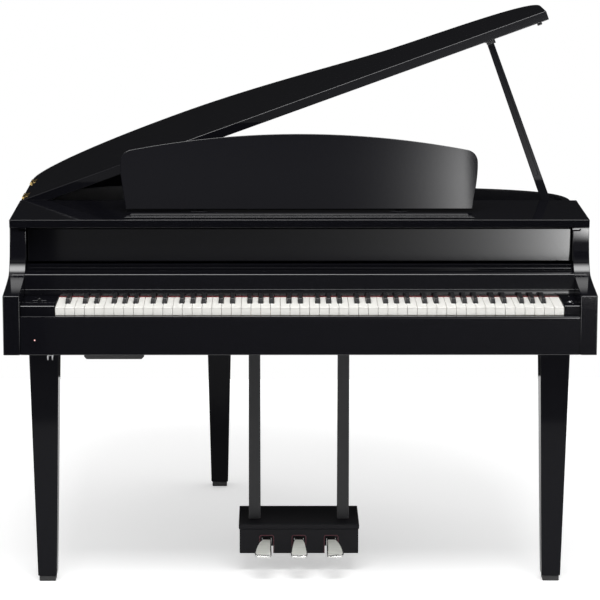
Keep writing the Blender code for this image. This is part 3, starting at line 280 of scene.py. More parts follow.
class FittingSettings(bpy.types.PropertyGroup):
    pedal: FloatVectorProperty(
        name="Pedals", description="Colour of the pedals", subtype="COLOR", default=(0.78, 0.78, 0.76))
    plate: FloatVectorProperty(
        name="Pedal plates", description="Colour of the pedals' flat tops", subtype="COLOR",
        default=(0.70, 0.71, 0.66))
    brass: FloatVectorProperty(
        name="Brass", description="Colour of the hinges", subtype="COLOR", default=(0.60, 0.43, 0.17))
    steel: FloatVectorProperty(
        name="Steel", description="Colour of the plain steel", subtype="COLOR", default=(0.45, 0.45, 0.46))
    plastic: FloatVectorProperty(
        name="Plastic", description="Colour of feet and switches", subtype="COLOR", default=(0.014, 0.014, 0.015))
    cloth: FloatVectorProperty(
        name="Speaker cloth", description="Colour of the cloth on the deck", subtype="COLOR",
        default=(0.050, 0.050, 0.054))
    lamp: FloatVectorProperty(
        name="Lamp", description="Colour of the lit power lamp", subtype="COLOR", default=(1.0, 0.50, 0.45))
    wood: FloatVectorProperty(
        name="Frame wood", description="Colour of the key frame", subtype="COLOR", default=(0.46, 0.30, 0.15))


def active():
    return bpy.context.view_layer.objects.active


def select_only(*objects):
    for item in bpy.data.objects:
        item.select_set(False)
    for item in objects:
        item.select_set(True)
    bpy.context.view_layer.objects.active = objects[0] if objects else None


def in_edit(item, *steps):
    """Runs each step on the whole mesh in edit mode."""
    select_only(item)
    bpy.ops.object.mode_set(mode="EDIT")
    for step in steps:
        bpy.ops.mesh.select_all(action="SELECT")
        step()
    bpy.ops.object.mode_set(mode="OBJECT")
    return item


def apply_modifiers(item):
    select_only(item)
    for modifier in list(item.modifiers):
        bpy.ops.object.modifier_apply(modifier=modifier.name)
    return item


def settle(item):
    """Puts the piece's place into its mesh, so that its object stands at the origin."""
    select_only(item)
    bpy.ops.object.transform_apply(location=True, rotation=True, scale=True)
    return item


def outward(item):
    return in_edit(item, lambda: bpy.ops.mesh.remove_doubles(threshold=0.00001),
                   lambda: bpy.ops.mesh.normals_make_consistent(inside=False))


def copy_of(node, name, flatten=True):
    """A merged copy of a node's mesh, ready to be shaped."""
    item = bpy.data.objects.new(name, frame["nodes"][node].data.copy())
    bpy.context.scene.collection.objects.link(item)
    item.data.materials.clear()
    in_edit(item, lambda: bpy.ops.mesh.remove_doubles(threshold=0.00002))
    if flatten:
        in_edit(item, lambda: bpy.ops.mesh.dissolve_limited(angle_limit=math.radians(0.6)))
    return item


def ease(item, width, segments=3, angle=30.0):
    """Rounds the edges that are sharper than the angle."""
    bevel = item.modifiers.new("eased edges", "BEVEL")
    bevel.width = width
    bevel.segments = segments
    bevel.limit_method = "ANGLE"
    bevel.angle_limit = math.radians(angle)
    bevel.use_clamp_overlap = True
    bevel.miter_outer = "MITER_ARC"
    return apply_modifiers(item)


def smooth(item, angle=35.0):
    """Smooth shading between faces that meet at less than the angle, with the large faces kept flat."""
    select_only(item)
    bpy.ops.object.shade_smooth_by_angle(angle=math.radians(angle), keep_sharp_edges=False)
    flat = item.modifiers.new("flat faces", "WEIGHTED_NORMAL")
    flat.keep_sharp = True
    flat.weight = 100
    return apply_modifiers(item)


def shaped(item, test, *steps):
    """Runs each step on the faces whose centre and normal pass the test."""
    select_only(item)
    bpy.ops.object.mode_set(mode="EDIT")
    bpy.ops.mesh.select_mode(type="FACE")
    bpy.ops.mesh.select_all(action="DESELECT")
    bpy.ops.object.mode_set(mode="OBJECT")
    for face in item.data.polygons:
        face.select = test(face.center, face.normal)
    bpy.ops.object.mode_set(mode="EDIT")
    for step in steps:
        step()
    bpy.ops.mesh.select_mode(type="VERT")
    bpy.ops.object.mode_set(mode="OBJECT")
    return item


def add_box(name, low, high):
    """A box between two corners, to be shaped further."""
    low, high = Vector(low), Vector(high)
    select_only()
    bpy.ops.mesh.primitive_cube_add(size=1.0, location=(low + high) / 2, scale=high - low)
    item = active()
    item.name = name
    return settle(item)


def add_rod(name, radius, start, end, sides=32):
    """A round bar from one point to another."""
    start, end = Vector(start), Vector(end)
    turn = (end - start).to_track_quat("Z", "Y").to_euler()
    select_only()
    bpy.ops.mesh.primitive_cylinder_add(vertices=sides, radius=radius, depth=(end - start).length,
                                        location=(start + end) / 2, rotation=turn)
    item = active()
    item.name = name
    return settle(item)


def slab(name, outline, low, high, plane="XY"):
    """A drawn outline pulled from low to high along the axis that the plane leaves out."""
    select_only()
    bpy.ops.mesh.primitive_circle_add(vertices=len(outline), fill_type="NGON")
    item = active()
    item.name = name
    spots = {"XY": lambda a, b, h: (a, b, h), "YZ": lambda a, b, h: (h, a, b), "XZ": lambda a, b, h: (a, h, b)}
    for vertex, (a, b) in zip(item.data.vertices, outline):
        vertex.co = spots[plane](a, b, low)
    shift = spots[plane](0.0, 0.0, high - low)
    in_edit(item, lambda: bpy.ops.mesh.extrude_region_move(TRANSFORM_OT_translate={"value": shift}))
    return outward(item)


def carve(item, *tools, operation="DIFFERENCE"):
    """Cuts each tool out of the piece, or joins it to it, and takes the tool away."""
    for tool in tools:
        cut = item.modifiers.new("cut", "BOOLEAN")
        cut.operation = operation
        cut.solver = "EXACT"
        cut.object = tool
        apply_modifiers(item)
        bpy.data.objects.remove(tool, do_unlink=True)
    return item


def weld(item, *others):
    return carve(item, *others, operation="UNION")


def twin(item, name, shift=(0.0, 0.0, 0.0)):
    """A copy of a piece with its own mesh, moved by the shift."""
    made = bpy.data.objects.new(name, item.data.copy())
    bpy.context.scene.collection.objects.link(made)
    made.data.transform(Matrix.Translation(shift))
    return made


def gathered(name, items):
    """Several pieces that don't touch, as one."""
    select_only(*items)
    bpy.ops.object.join()
    item = active()
    item.name = name
    return item


def lathe(name, profile, centre=(0.0, 0.0, 0.0), steps=64):
    """A profile of (radius, height) pairs, turned about an upright line through the centre."""
    select_only()
    bpy.ops.mesh.primitive_circle_add(vertices=len(profile), fill_type="NOTHING")
    item = active()
    item.name = name
    for vertex, (radius, height) in zip(item.data.vertices, profile):
        vertex.co = (radius, 0.0, height)
    ends = {0, len(profile) - 1}
    bpy.ops.object.mode_set(mode="EDIT")
    bpy.ops.mesh.select_mode(type="EDGE")
    bpy.ops.mesh.select_all(action="DESELECT")
    bpy.ops.object.mode_set(mode="OBJECT")
    for edge in item.data.edges:
        edge.select = set(edge.vertices) == ends
    bpy.ops.object.mode_set(mode="EDIT")
    bpy.ops.mesh.delete(type="EDGE")
    bpy.ops.mesh.select_mode(type="VERT")
    bpy.ops.object.mode_set(mode="OBJECT")
    turn = item.modifiers.new("turn", "SCREW")
    turn.steps = turn.render_steps = steps
    turn.use_merge_vertices = True
    turn.merge_threshold = 0.00002
    apply_modifiers(item)
    item.data.transform(Matrix.Translation(centre))
    return outward(item)


def skin(name, rings):
    """A closed skin through rings that have the same number of points."""
    around, rows = len(rings[0]), len(rings)
    select_only()
    bpy.ops.mesh.primitive_grid_add(x_subdivisions=around, y_subdivisions=rows - 1)
    item = active()
    item.name = name
    for index, vertex in enumerate(item.data.vertices):
        row, column = divmod(index, around + 1)
        vertex.co = rings[row][column % around]
    in_edit(item, lambda: bpy.ops.mesh.remove_doubles(threshold=0.00001),
            lambda: bpy.ops.mesh.fill_holes(sides=0))
    return outward(item)


def wire(name, points, radius, sides=12):
    """A round wire bent through the points."""
    curve = bpy.data.curves.new(name, "CURVE")
    curve.dimensions = "3D"
    curve.bevel_depth = radius
    curve.bevel_resolution = sides // 4
    curve.use_fill_caps = True
    spline = curve.splines.new("NURBS")
    spline.points.add(len(points) - 1)
    for point, place in zip(spline.points, points):
        point.co = (*place, 1.0)
    spline.order_u = 4
    spline.use_endpoint_u = True
    spline.resolution_u = 4
    item = bpy.data.objects.new(name, curve)
    bpy.context.scene.collection.objects.link(item)
    select_only(item)
    bpy.ops.object.convert(target="MESH")
    return outward(active())


def screw_head(name, place, outwards, radius, proud):
    """A round screw head with a slot across it."""
    place, outwards = Vector(place), Vector(outwards)
    head = add_rod(name, radius, place - outwards * 2 * proud, place + outwards * proud, 28)
    ease(head, proud * 0.8, 3, 50.0)
    side = outwards.orthogonal().normalized() * radius * 1.2
    other = outwards.cross(side).normalized() * radius * 0.14
    deep = outwards * proud * 0.7
    corners = [place + a * side + b * other + c * deep for a in (-1, 1) for b in (-1, 1) for c in (0, 3)]
    low = Vector([min(corner[axis] for corner in corners) for axis in range(3)])
    high = Vector([max(corner[axis] for corner in corners) for axis in range(3)])
    return smooth(carve(head, add_box("slot", low, high)), 40.0)


def drop(item):
    bpy.data.objects.remove(item, do_unlink=True)


def put(item, body, finish, slot, *nodes):
    """Gives a piece its finish and its body, and hides the nodes that it stands for."""
    item.data.materials.clear()
    item.data.materials.append(finish)
    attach(item, body)
    if nodes:
        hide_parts(*nodes)
    return item


def paint(node, finish):
    mesh = frame["nodes"][node].data
    mesh.materials.clear()
    mesh.materials.append(finish)


def body_of(node):
    for body, nodes in frame["record"]["behaviour"]["bodies"].items():
        if node in nodes:
            return body
    raise ValueError("no body holds " + node)


def eased_panel(node, finish, slot, width, segments=3, angle=30.0):
    """A node's own shape with rounded edges, standing for the node."""
    item = smooth(ease(copy_of(node, node + "_eased"), width, segments, angle))
    return put(item, body_of(node), finish, slot, node)


def socket(tree, name, direction, kind, default=None, low=None, high=None):
    made = tree.interface.new_socket(name=name, in_out=direction, socket_type=kind)
    if default is not None:
        made.default_value = default
    if low is not None:
        made.min_value = low
        made.max_value = high
    return made


def group_tree(name, inputs, outputs):
    """A shader node group with named sockets, and its two end nodes."""
    tree = bpy.data.node_groups.new(name, "ShaderNodeTree")
    for label, kind, default in inputs:
        socket(tree, label, "INPUT", kind, default)
    for label, kind in outputs:
        socket(tree, label, "OUTPUT", kind)
    return tree, tree.nodes.new("NodeGroupInput"), tree.nodes.new("NodeGroupOutput")


def math_node(tree, operation, first, second=None):
    node = tree.nodes.new("ShaderNodeMath")
    node.operation = operation
    for index, value in enumerate((first, second)):
        if value is None:
            continue
        if isinstance(value, (int, float)):
            node.inputs[index].default_value = value
        else:
            tree.links.new(value, node.inputs[index])
    return node.outputs[0]


def noise(tree, where, scale, detail=3.0):
    node = tree.nodes.new("ShaderNodeTexNoise")
    node.inputs["Detail"].default_value = detail
    tree.links.new(where, node.inputs["Vector"])
    if isinstance(scale, (int, float)):
        node.inputs["Scale"].default_value = scale
    else:
        tree.links.new(scale, node.inputs["Scale"])
    return node.outputs["Fac"]


def spread(tree, value, low, high):
    """Maps 0..1 to low..high, where each may be a number or a socket."""
    node = tree.nodes.new("ShaderNodeMapRange")
    tree.links.new(value, node.inputs["Value"])
    for label, end in (("To Min", low), ("To Max", high)):
        if isinstance(end, (int, float)):
            node.inputs[label].default_value = end
        else:
            tree.links.new(end, node.inputs[label])
    return node.outputs[0]


def bump(tree, height, strength, distance):
    node = tree.nodes.new("ShaderNodeBump")
    node.inputs["Strength"].default_value = strength
    node.inputs["Distance"].default_value = distance
    tree.links.new(height, node.inputs["Height"])
    return node.outputs["Normal"]


def polish_group():
    """Wiped lacquer or plastic: a slow change of gloss with fine dust specks in it."""
    tree, start, end = group_tree(
        "wiped polish",
        (("Where", "NodeSocketVector", None), ("Gloss", "NodeSocketFloat", 0.05),
         ("Haze", "NodeSocketFloat", 0.04), ("Dust", "NodeSocketFloat", 0.10)),
        (("Roughness", "NodeSocketFloat"), ("Height", "NodeSocketFloat")))
    where = start.outputs["Where"]
    cloudy = math_node(tree, "MULTIPLY", noise(tree, where, 5.0), start.outputs["Haze"])
    specks = math_node(tree, "GREATER_THAN", noise(tree, where, 900.0, 1.0), 0.74)
    dusty = math_node(tree, "MULTIPLY", specks, start.outputs["Dust"])
    total = math_node(tree, "ADD", start.outputs["Gloss"], math_node(tree, "ADD", cloudy, dusty))
    tree.links.new(total, end.inputs["Roughness"])
    tree.links.new(noise(tree, where, 60.0, 2.0), end.inputs["Height"])
    return tree


def grain_group():
    """Fine moulded or painted grain: height, and a light change of colour strength."""
    tree, start, end = group_tree(
        "fine grain",
        (("Where", "NodeSocketVector", None), ("Size", "NodeSocketFloat", 900.0)),
        (("Height", "NodeSocketFloat"), ("Shade", "NodeSocketFloat")))
    height = noise(tree, start.outputs["Where"], start.outputs["Size"], 2.0)
    tree.links.new(height, end.inputs["Height"])
    tree.links.new(spread(tree, noise(tree, start.outputs["Where"], 14.0), 0.86, 1.14), end.inputs["Shade"])
    return tree


def weave_group():
    """Two crossed sets of threads."""
    tree, start, end = group_tree(
        "woven threads",
        (("Where", "NodeSocketVector", None), ("Threads", "NodeSocketFloat", 900.0)),
        (("Height", "NodeSocketFloat"), ("Shade", "NodeSocketFloat")))
    heights = []
    for axis in ("X", "Y"):
        wave = tree.nodes.new("ShaderNodeTexWave")
        wave.bands_direction = axis
        wave.inputs["Distortion"].default_value = 0.6
        wave.inputs["Detail"].default_value = 1.0
        tree.links.new(start.outputs["Where"], wave.inputs["Vector"])
        tree.links.new(start.outputs["Threads"], wave.inputs["Scale"])
        heights.append(wave.outputs["Fac"])
    height = math_node(tree, "MULTIPLY", heights[0], heights[1])
    fuzz = noise(tree, start.outputs["Where"], 1400.0, 2.0)
    both = math_node(tree, "ADD", height, math_node(tree, "MULTIPLY", fuzz, 0.5))
    tree.links.new(both, end.inputs["Height"])
    tree.links.new(spread(tree, both, 0.45, 1.75), end.inputs["Shade"])
    return tree


def streak_group():
    """Long fine streaks along X, for wood grain and for brushed metal."""
    tree, start, end = group_tree(
        "long streaks",
        (("Where", "NodeSocketVector", None), ("Size", "NodeSocketFloat", 60.0)),
        (("Height", "NodeSocketFloat"), ("Shade", "NodeSocketFloat")))
    mapping = tree.nodes.new("ShaderNodeMapping")
    mapping.inputs["Scale"].default_value = (0.04, 1.0, 1.0)
    tree.links.new(start.outputs["Where"], mapping.inputs["Vector"])
    height = noise(tree, mapping.outputs["Vector"], start.outputs["Size"], 6.0)
    tree.links.new(height, end.inputs["Height"])
    tree.links.new(spread(tree, height, 0.72, 1.28), end.inputs["Shade"])
    return tree


def build_groups():
    return {"polish": polish_group(), "grain": grain_group(), "weave": weave_group(), "streak": streak_group()}


def shader_of(name, colour, roughness, metallic=0.0, **settings):
    made = bpy.data.materials.new(name)
    made.use_nodes = True
    shader = made.node_tree.nodes["Principled BSDF"]
    shader.inputs["Base Color"].default_value = (*colour, 1.0)
    shader.inputs["Roughness"].default_value = roughness
    shader.inputs["Metallic"].default_value = metallic
    for label, value in settings.items():
        shader.inputs[label.replace("_", " ")].default_value = value
    return made, made.node_tree, shader


def place_group(tree, group, **values):
    node = tree.nodes.new("ShaderNodeGroup")
    node.node_tree = group
    coordinates = tree.nodes.new("ShaderNodeTexCoord")
    tree.links.new(coordinates.outputs["Object"], node.inputs["Where"])
    for label, value in values.items():
        node.inputs[label].default_value = value
    return node


def tint(tree, shader, colour, shade):
    """Multiplies the base colour by a shade that changes over the surface."""
    scale = tree.nodes.new("ShaderNodeVectorMath")
    scale.operation = "SCALE"
    scale.inputs[0].default_value = colour
    tree.links.new(shade, scale.inputs["Scale"])
    tree.links.new(scale.outputs["Vector"], shader.inputs["Base Color"])


def glowing(name, colour, gloss, groups):
    """A lit lens: a clear plastic gloss over its own light."""
    made = polished(name, colour, gloss, 0.05, groups)
    shader = made.node_tree.nodes["Principled BSDF"]
    shader.inputs["Emission Color"].default_value = (*colour, 1.0)
    shader.inputs["Emission Strength"].default_value = 0.8
    return made


def polished(name, colour, gloss, haze, groups, dust=0.10, metallic=0.0, **settings):
    made, tree, shader = shader_of(name, colour, gloss, metallic, **settings)
    node = place_group(tree, groups["polish"], Gloss=gloss, Haze=haze, Dust=dust)
    tree.links.new(node.outputs["Roughness"], shader.inputs["Roughness"])
    tree.links.new(bump(tree, node.outputs["Height"], 0.02, 0.0004), shader.inputs["Normal"])
    return made


def grained(name, colour, roughness, groups, size=900.0, strength=0.15, metallic=0.0, kind="grain", **settings):
    made, tree, shader = shader_of(name, colour, roughness, metallic, **settings)
    label = {"grain": "Size", "streak": "Size", "weave": "Threads"}[kind]
    node = place_group(tree, groups[kind], **{label: size})
    tree.links.new(bump(tree, node.outputs["Height"], strength, 0.0003), shader.inputs["Normal"])
    tint(tree, shader, colour, node.outputs["Shade"])
    return made


def build_finishes():
    scene = bpy.context.scene
    lacquer, keys, fittings = scene.piano_lacquer, scene.piano_keys, scene.piano_fittings
    groups = build_groups()
    return {
        "black": polished("polished black lacquer", lacquer.black, lacquer.gloss, 0.03, groups),
        # The legs' and prop's copy of the lacquer: colour painted a little lighter and reflection turned down, standing
        # in for the light on the legs rather than a different lacquer.
        "leg": polished("black lacquer with painted light for legs", lacquer.leg, lacquer.gloss, 0.03, groups, Specular_IOR_Level=0.07),
        "satin": grained("satin black paint", lacquer.satin, 0.32, groups, 1200.0, 0.10, Specular_IOR_Level=0.15),
        "post": grained("satin grey paint", lacquer.post, 0.38, groups, 1200.0, 0.12, Specular_IOR_Level=0.35),
        "white_key": polished("white keytop", keys.white, 0.26, 0.08, groups, 0.06),
        "black_key": grained("black keytop", keys.black, 0.34, groups, 500.0, 0.12, kind="streak"),
        "felt": grained("red felt", keys.felt, 0.95, groups, 1600.0, 0.8, Sheen_Weight=0.4),
        "slot_felt": grained("dark red felt", keys.slot_felt, 0.95, groups, 1600.0, 0.8, Sheen_Weight=0.2),
        "pedal": polished("polished pedal metal", fittings.pedal, 0.12, 0.08, groups, 0.05, metallic=1.0),
        "pedal_plate": grained("satin pedal metal", fittings.plate, 0.45, groups, 300.0, 0.06, 0.35, "streak"),
        "control": grained("smooth plastic", fittings.plastic, 0.22, groups, 1400.0, 0.10),
        "lamp": glowing("lamp lens", fittings.lamp, 0.20, groups),
        "brass": grained("lacquered brass", fittings.brass, 0.26, groups, 300.0, 0.10, 1.0, "streak"),
        "steel": grained("plain steel", fittings.steel, 0.34, groups, 300.0, 0.12, 1.0, "streak"),
        "plastic": grained("moulded plastic", fittings.plastic, 0.45, groups, 1400.0, 0.25),
        "cloth": grained("speaker cloth", fittings.cloth, 0.92, groups, 420.0, 0.9, kind="weave"),
        "wood": grained("planed wood", fittings.wood, 0.55, groups, 90.0, 0.2, kind="streak"),
    }


FINISHES = {}


def build_sky(strength):
    """White behind the piano, an even light on it, and a dim studio with a pale ceiling in its polish."""
    world = bpy.data.worlds.new("studio")
    bpy.context.scene.world = world
    world.use_nodes = True
    tree = world.node_tree
    tree.nodes.clear()
    end = tree.nodes.new("ShaderNodeOutputWorld")
    rays = tree.nodes.new("ShaderNodeLightPath")
    place = tree.nodes.new("ShaderNodeTexCoord")
    axes = tree.nodes.new("ShaderNodeSeparateXYZ")
    tree.links.new(place.outputs["Generated"], axes.inputs["Vector"])
    height = tree.nodes.new("ShaderNodeMapRange")
    height.interpolation_type = "SMOOTHERSTEP"
    height.inputs["From Min"].default_value = 0.45
    height.inputs["From Max"].default_value = 1.0
    height.inputs["To Min"].default_value = 0.012
    height.inputs["To Max"].default_value = 0.75
    tree.links.new(axes.outputs["Z"], height.inputs["Value"])
    studio = tree.nodes.new("ShaderNodeBackground")
    tree.links.new(height.outputs["Result"], studio.inputs["Strength"])
    even = tree.nodes.new("ShaderNodeBackground")
    even.inputs["Strength"].default_value = strength
    white = tree.nodes.new("ShaderNodeBackground")
    for background in (studio, even, white):
        background.inputs["Color"].default_value = (1.0, 1.0, 1.0, 1.0)
    mirrored = tree.nodes.new("ShaderNodeMixShader")
    tree.links.new(rays.outputs["Is Glossy Ray"], mirrored.inputs["Fac"])
    tree.links.new(even.outputs["Background"], mirrored.inputs[1])
    tree.links.new(studio.outputs["Background"], mirrored.inputs[2])
    seen = tree.nodes.new("ShaderNodeMixShader")
    tree.links.new(rays.outputs["Is Camera Ray"], seen.inputs["Fac"])
    tree.links.new(mirrored.outputs["Shader"], seen.inputs[1])
    tree.links.new(white.outputs["Background"], seen.inputs[2])
    tree.links.new(seen.outputs["Shader"], end.inputs["Surface"])


def build_floor(colour, size):
    select_only()
    bpy.ops.mesh.primitive_plane_add(size=size, location=(0.0, 0.0, -0.0005))
    floor = active()
    floor.name = "floor"
    made, tree, shader = shader_of("pale floor", colour, 0.9, Specular_IOR_Level=0.0)
    rays = tree.nodes.new("ShaderNodeLightPath")
    glow = math_node(tree, "MULTIPLY", rays.outputs["Is Camera Ray"], 0.42)
    shader.inputs["Emission Color"].default_value = (1.0, 1.0, 1.0, 1.0)
    tree.links.new(glow, shader.inputs["Emission Strength"])
    floor.data.materials.append(made)


def card_axis(tree, axes, label, start, end):
    """How far along one axis of a card a point lies, from 0 at start to 1 at end."""
    node = tree.nodes.new("ShaderNodeMapRange")
    node.inputs["From Min"].default_value = start
    node.inputs["From Max"].default_value = end
    tree.links.new(axes.outputs[label], node.inputs["Value"])
    return node.outputs["Result"]


def build_card(name, corners, strength, glow):
    """A glowing card that only the polish shows. glow(tree, across, up) gives its brightness over its face.

    The corners are its lower left, lower right and upper left ones, seen from the piano.
    """
    low, right, top = (Vector(corner) for corner in corners)
    across, up = right - low, top - low
    select_only()
    bpy.ops.mesh.primitive_plane_add(size=1.0)
    card = active()
    card.name = name
    turn = Matrix((across.normalized(), up.normalized(), across.cross(up).normalized())).transposed()
    card.data.transform(Matrix.Diagonal((across.length, up.length, 1.0, 1.0)))
    card.matrix_world = Matrix.Translation(low + across / 2 + up / 2) @ turn.to_4x4()
    made = bpy.data.materials.new(name)
    made.use_nodes = True
    tree = made.node_tree
    tree.nodes.clear()
    end = tree.nodes.new("ShaderNodeOutputMaterial")
    light = tree.nodes.new("ShaderNodeEmission")
    place = tree.nodes.new("ShaderNodeTexCoord")
    axes = tree.nodes.new("ShaderNodeSeparateXYZ")
    tree.links.new(place.outputs["Object"], axes.inputs["Vector"])
    sideways = card_axis(tree, axes, "X", -across.length / 2, across.length / 2)
    upwards = card_axis(tree, axes, "Y", -up.length / 2, up.length / 2)
    shade = math_node(tree, "MULTIPLY", glow(tree, sideways, upwards), strength)
    tree.links.new(shade, light.inputs["Strength"])
    tree.links.new(light.outputs["Emission"], end.inputs["Surface"])
    card.data.materials.append(made)
    card.visible_camera = False
    card.visible_diffuse = False
    card.visible_shadow = False
    return card


def hump(tree, value, start, rise, fall, end):
    """0 up to start, 1 between rise and fall, and 0 again from end on."""
    sides = []
    for low, high in ((start, rise), (end, fall)):
        node = tree.nodes.new("ShaderNodeMapRange")
        node.interpolation_type = "SMOOTHSTEP"
        node.inputs["From Min"].default_value = low
        node.inputs["From Max"].default_value = high
        tree.links.new(value, node.inputs["Value"])
        sides.append(node.outputs["Result"])
    return math_node(tree, "MULTIPLY", sides[0], sides[1])


def low_glow(tree, across, up):
    """Brightest at the right, low down, where the key cover shows it, over a faint even base."""
    steep = math_node(tree, "MULTIPLY", math_node(tree, "POWER", across, 14.0), 2.53)
    gentle = math_node(tree, "MULTIPLY", math_node(tree, "POWER", across, 5.0), 0.57)
    side = math_node(tree, "ADD", math_node(tree, "ADD", steep, gentle), 0.016)
    band = math_node(tree, "MULTIPLY", side, hump(tree, up, 0.236, 0.243, 0.317, 0.70))
    return math_node(tree, "ADD", band, math_node(tree, "MULTIPLY", math_node(tree, "ADD", across, 0.6), 0.009))


def rest_glow(tree, across, up):
    """Brighter to the right and below, where the music rest shows it."""
    side = math_node(tree, "ADD", math_node(tree, "POWER", across, 12.0), 0.025)
    return math_node(tree, "MULTIPLY", side, hump(tree, up, 0.0, 0.1, 0.4, 1.4))


def ceiling_glow(tree, across, up):
    """An even strip that fades out towards the front and the back."""
    return math_node(tree, "MULTIPLY", hump(tree, up, 0.05, 0.50, 0.62, 1.0), hump(tree, across, 0.0, 0.1, 0.9, 1.0))


def pedal_glow(tree, across, up):
    """An even field under the case, which only the pedals' tops look at."""
    return math_node(tree, "MULTIPLY", hump(tree, up, 0.0, 0.15, 0.9, 1.0), hump(tree, across, 0.0, 0.1, 0.9, 1.0))


def side_glow(tree, across, up):
    """A low strip at one side, which draws the upright edges as thin lines."""
    return math_node(tree, "MULTIPLY", hump(tree, up, 0.0, 0.3, 0.7, 1.0), hump(tree, across, 0.0, 0.2, 0.8, 1.0))


def build_lamp(name, place, target, size, power):
    light = bpy.data.lights.new(name, "AREA")
    light.shape = "RECTANGLE"
    light.size, light.size_y = size
    light.energy = power
    lamp = bpy.data.objects.new(name, light)
    bpy.context.scene.collection.objects.link(lamp)
    lamp.location = place
    lamp.rotation_mode = "QUATERNION"
    lamp.rotation_quaternion = (Vector(target) - Vector(place)).to_track_quat("-Z", "Y")
    lamp.visible_camera = False
    lamp.visible_glossy = False
    return lamp


class PianoStage(bpy.types.Operator):
    """Sets the pale floor, the white studio, its lamps and cards, and the camera"""
    bl_idname = "piano.stage"
    bl_label = "Studio"

    def execute(self, context):
        studio = context.scene.piano_studio
        context.scene.view_settings.view_transform = "Standard"
        build_sky(studio.sky)
        build_floor(studio.floor_colour, studio.floor_size)
        build_lamp("front lamp", (0.1, -1.95, 3.9), (0.0, -0.45, 0.7), (3.0, 1.6), studio.front_lamp)
        build_card("low card", ((-0.817, -3.0, -0.15), (1.15, -3.0, -0.15), (-0.817, -3.0, 1.75)), 9.6, low_glow)
        build_card("rest card", ((-0.75, -3.0, 2.35), (0.66, -3.0, 2.35), (-0.75, -3.0, 3.0)), 6.5, rest_glow)
        build_card("ceiling card", ((-2.0, -3.6, 4.0), (2.0, -3.6, 4.0), (-2.0, 0.5, 4.0)), 11.0, ceiling_glow)
        build_card("pedal card", ((-0.3, -0.02, 0.28), (0.3, -0.02, 0.28), (-0.3, -0.20, 0.60)), 0.65, pedal_glow)
        for side in (-1, 1):
            build_card("left card" if side < 0 else "right card",
                       ((side * 2.4, -2.2, -0.1), (side * 2.4, 0.2, -0.1), (side * 2.4, -2.2, 0.5)), 8.0, side_glow)
            build_card("left edge card" if side < 0 else "right edge card",
                       ((side * 1.2, -3.0, -0.1), (side * 4.0, -3.0, -0.1), (side * 1.2, -3.0, 1.3)), 9.0, side_glow)
        camera = bpy.data.objects.new("camera", bpy.data.cameras.new("camera"))
        context.scene.collection.objects.link(camera)
        camera.location = studio.eye
        camera.rotation_euler = (math.pi / 2 - studio.pitch, 0.0, -studio.turn)
        camera.data.lens = studio.lens
        camera.data.shift_x, camera.data.shift_y = studio.shift
        camera.data.clip_end = 60.0
        context.scene.camera = camera
        return {"FINISHED"}


class PianoFinishes(bpy.types.Operator):
    """Makes the lacquers, metals, plastics, felt and cloth, and gives each node its own"""
    bl_idname = "piano.finishes"
    bl_label = "Finishes"

    def execute(self, context):
        FINISHES.update(build_finishes())
        by_slot = {
            "polished_black": "black", "painted_board": "satin", "satin_black": "post", "black_plastic": "plastic",
            "white_keytop": "white_key", "black_keytop": "black_key", "red_felt": "felt", "speaker_cloth": "cloth",
            "frame_wood": "wood", "driver_black": "plastic", "brass_fitting": "brass", "pedal_metal": "pedal",
            "steel_fitting": "steel",
        }
        for entry in frame["record"]["subparts"]:
            paint(entry["node"], FINISHES[by_slot[entry["material_slot"]]])
        return {"FINISHED"}


def cubic(points, steps):
    """Points on one cubic curve, from its start up to but not at its end."""
    a, b, c, d = (Vector(point) for point in points)
    found = []
    for index in range(steps):
        t = index / steps
        s = 1.0 - t
        found.append(a * s ** 3 + b * 3 * s * s * t + c * 3 * s * t * t + d * t ** 3)
    return found


def wing_path(front, steps=26):
    """The case's outline in plan, from its front left corner round the tail to its front right one."""
    half, tail = CAD_BOX[1][0], CAD_BOX[1][1]
    bass_turn, treble_turn = tail - 0.296, tail - 0.506
    tail_end, waist = (0.415 - half, tail), (half - 0.385, tail - 0.276)
    path = [Vector((-half, front))]
    path += cubic(((-half, bass_turn), (-half, bass_turn + 0.160), (0.155 - half, tail), tail_end), steps)
    path += cubic((tail_end, (half - 0.765, tail), (half - 0.515, tail - 0.243), waist), steps)
    path += cubic((waist, (half - 0.235, tail - 0.314), (half, treble_turn + 0.190), (half, treble_turn)), steps)
    return path + [Vector((half, treble_turn)), Vector((half, front))]


def inset_path(path, distance):
    """The same path moved inwards, its ends kept in line with the front."""
    moved = []
    for index, point in enumerate(path):
        before = path[index] - path[index - 1] if index else path[1] - path[0]
        after = path[index + 1] - path[index] if index + 1 < len(path) else before
        normals = [Vector((edge.y, -edge.x)).normalized() for edge in (before, after)]
        middle = (normals[0] + normals[1]).normalized()
        moved.append(point + middle * (distance / max(middle.dot(normals[0]), 0.5)))
    return moved


def case_rim(shape, edge):
    """The bent side: its wall, the cleat that carries the deck, and the block that the lid closes on."""
    low, high = (Vector(corner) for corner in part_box("case_rim"))
    outer = wing_path(low.y)
    ring = outer + inset_path(outer, shape.wall)[::-1]
    rim = ease(slab("case_rim_bent", ring, low.z, high.z), edge, 3, 60.0)
    deck_low, deck_high = (Vector(corner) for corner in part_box("sound_deck"))
    path = wing_path(deck_low.y, 9)
    cleat = inset_path(path, shape.wall / 2) + inset_path(path, shape.wall + shape.cleat_reach)[::-1]
    cleat_top = deck_low.z - 0.0003
    block_x, block_y = shape.bumper_place(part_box("lid")[0][1])
    reach = 1.5 * shape.bumper_radius
    block_top = high.z - shape.bumper_height
    block = add_box("block", (block_x - reach, block_y - reach, block_top - 0.012),
                    (high.x - shape.wall / 2, block_y + reach, block_top))
    weld(rim, slab("cleat", cleat, cleat_top - 0.015, cleat_top), block)
    return put(smooth(rim, 40.0), "case", FINISHES["black"], "polished_black", "case_rim")


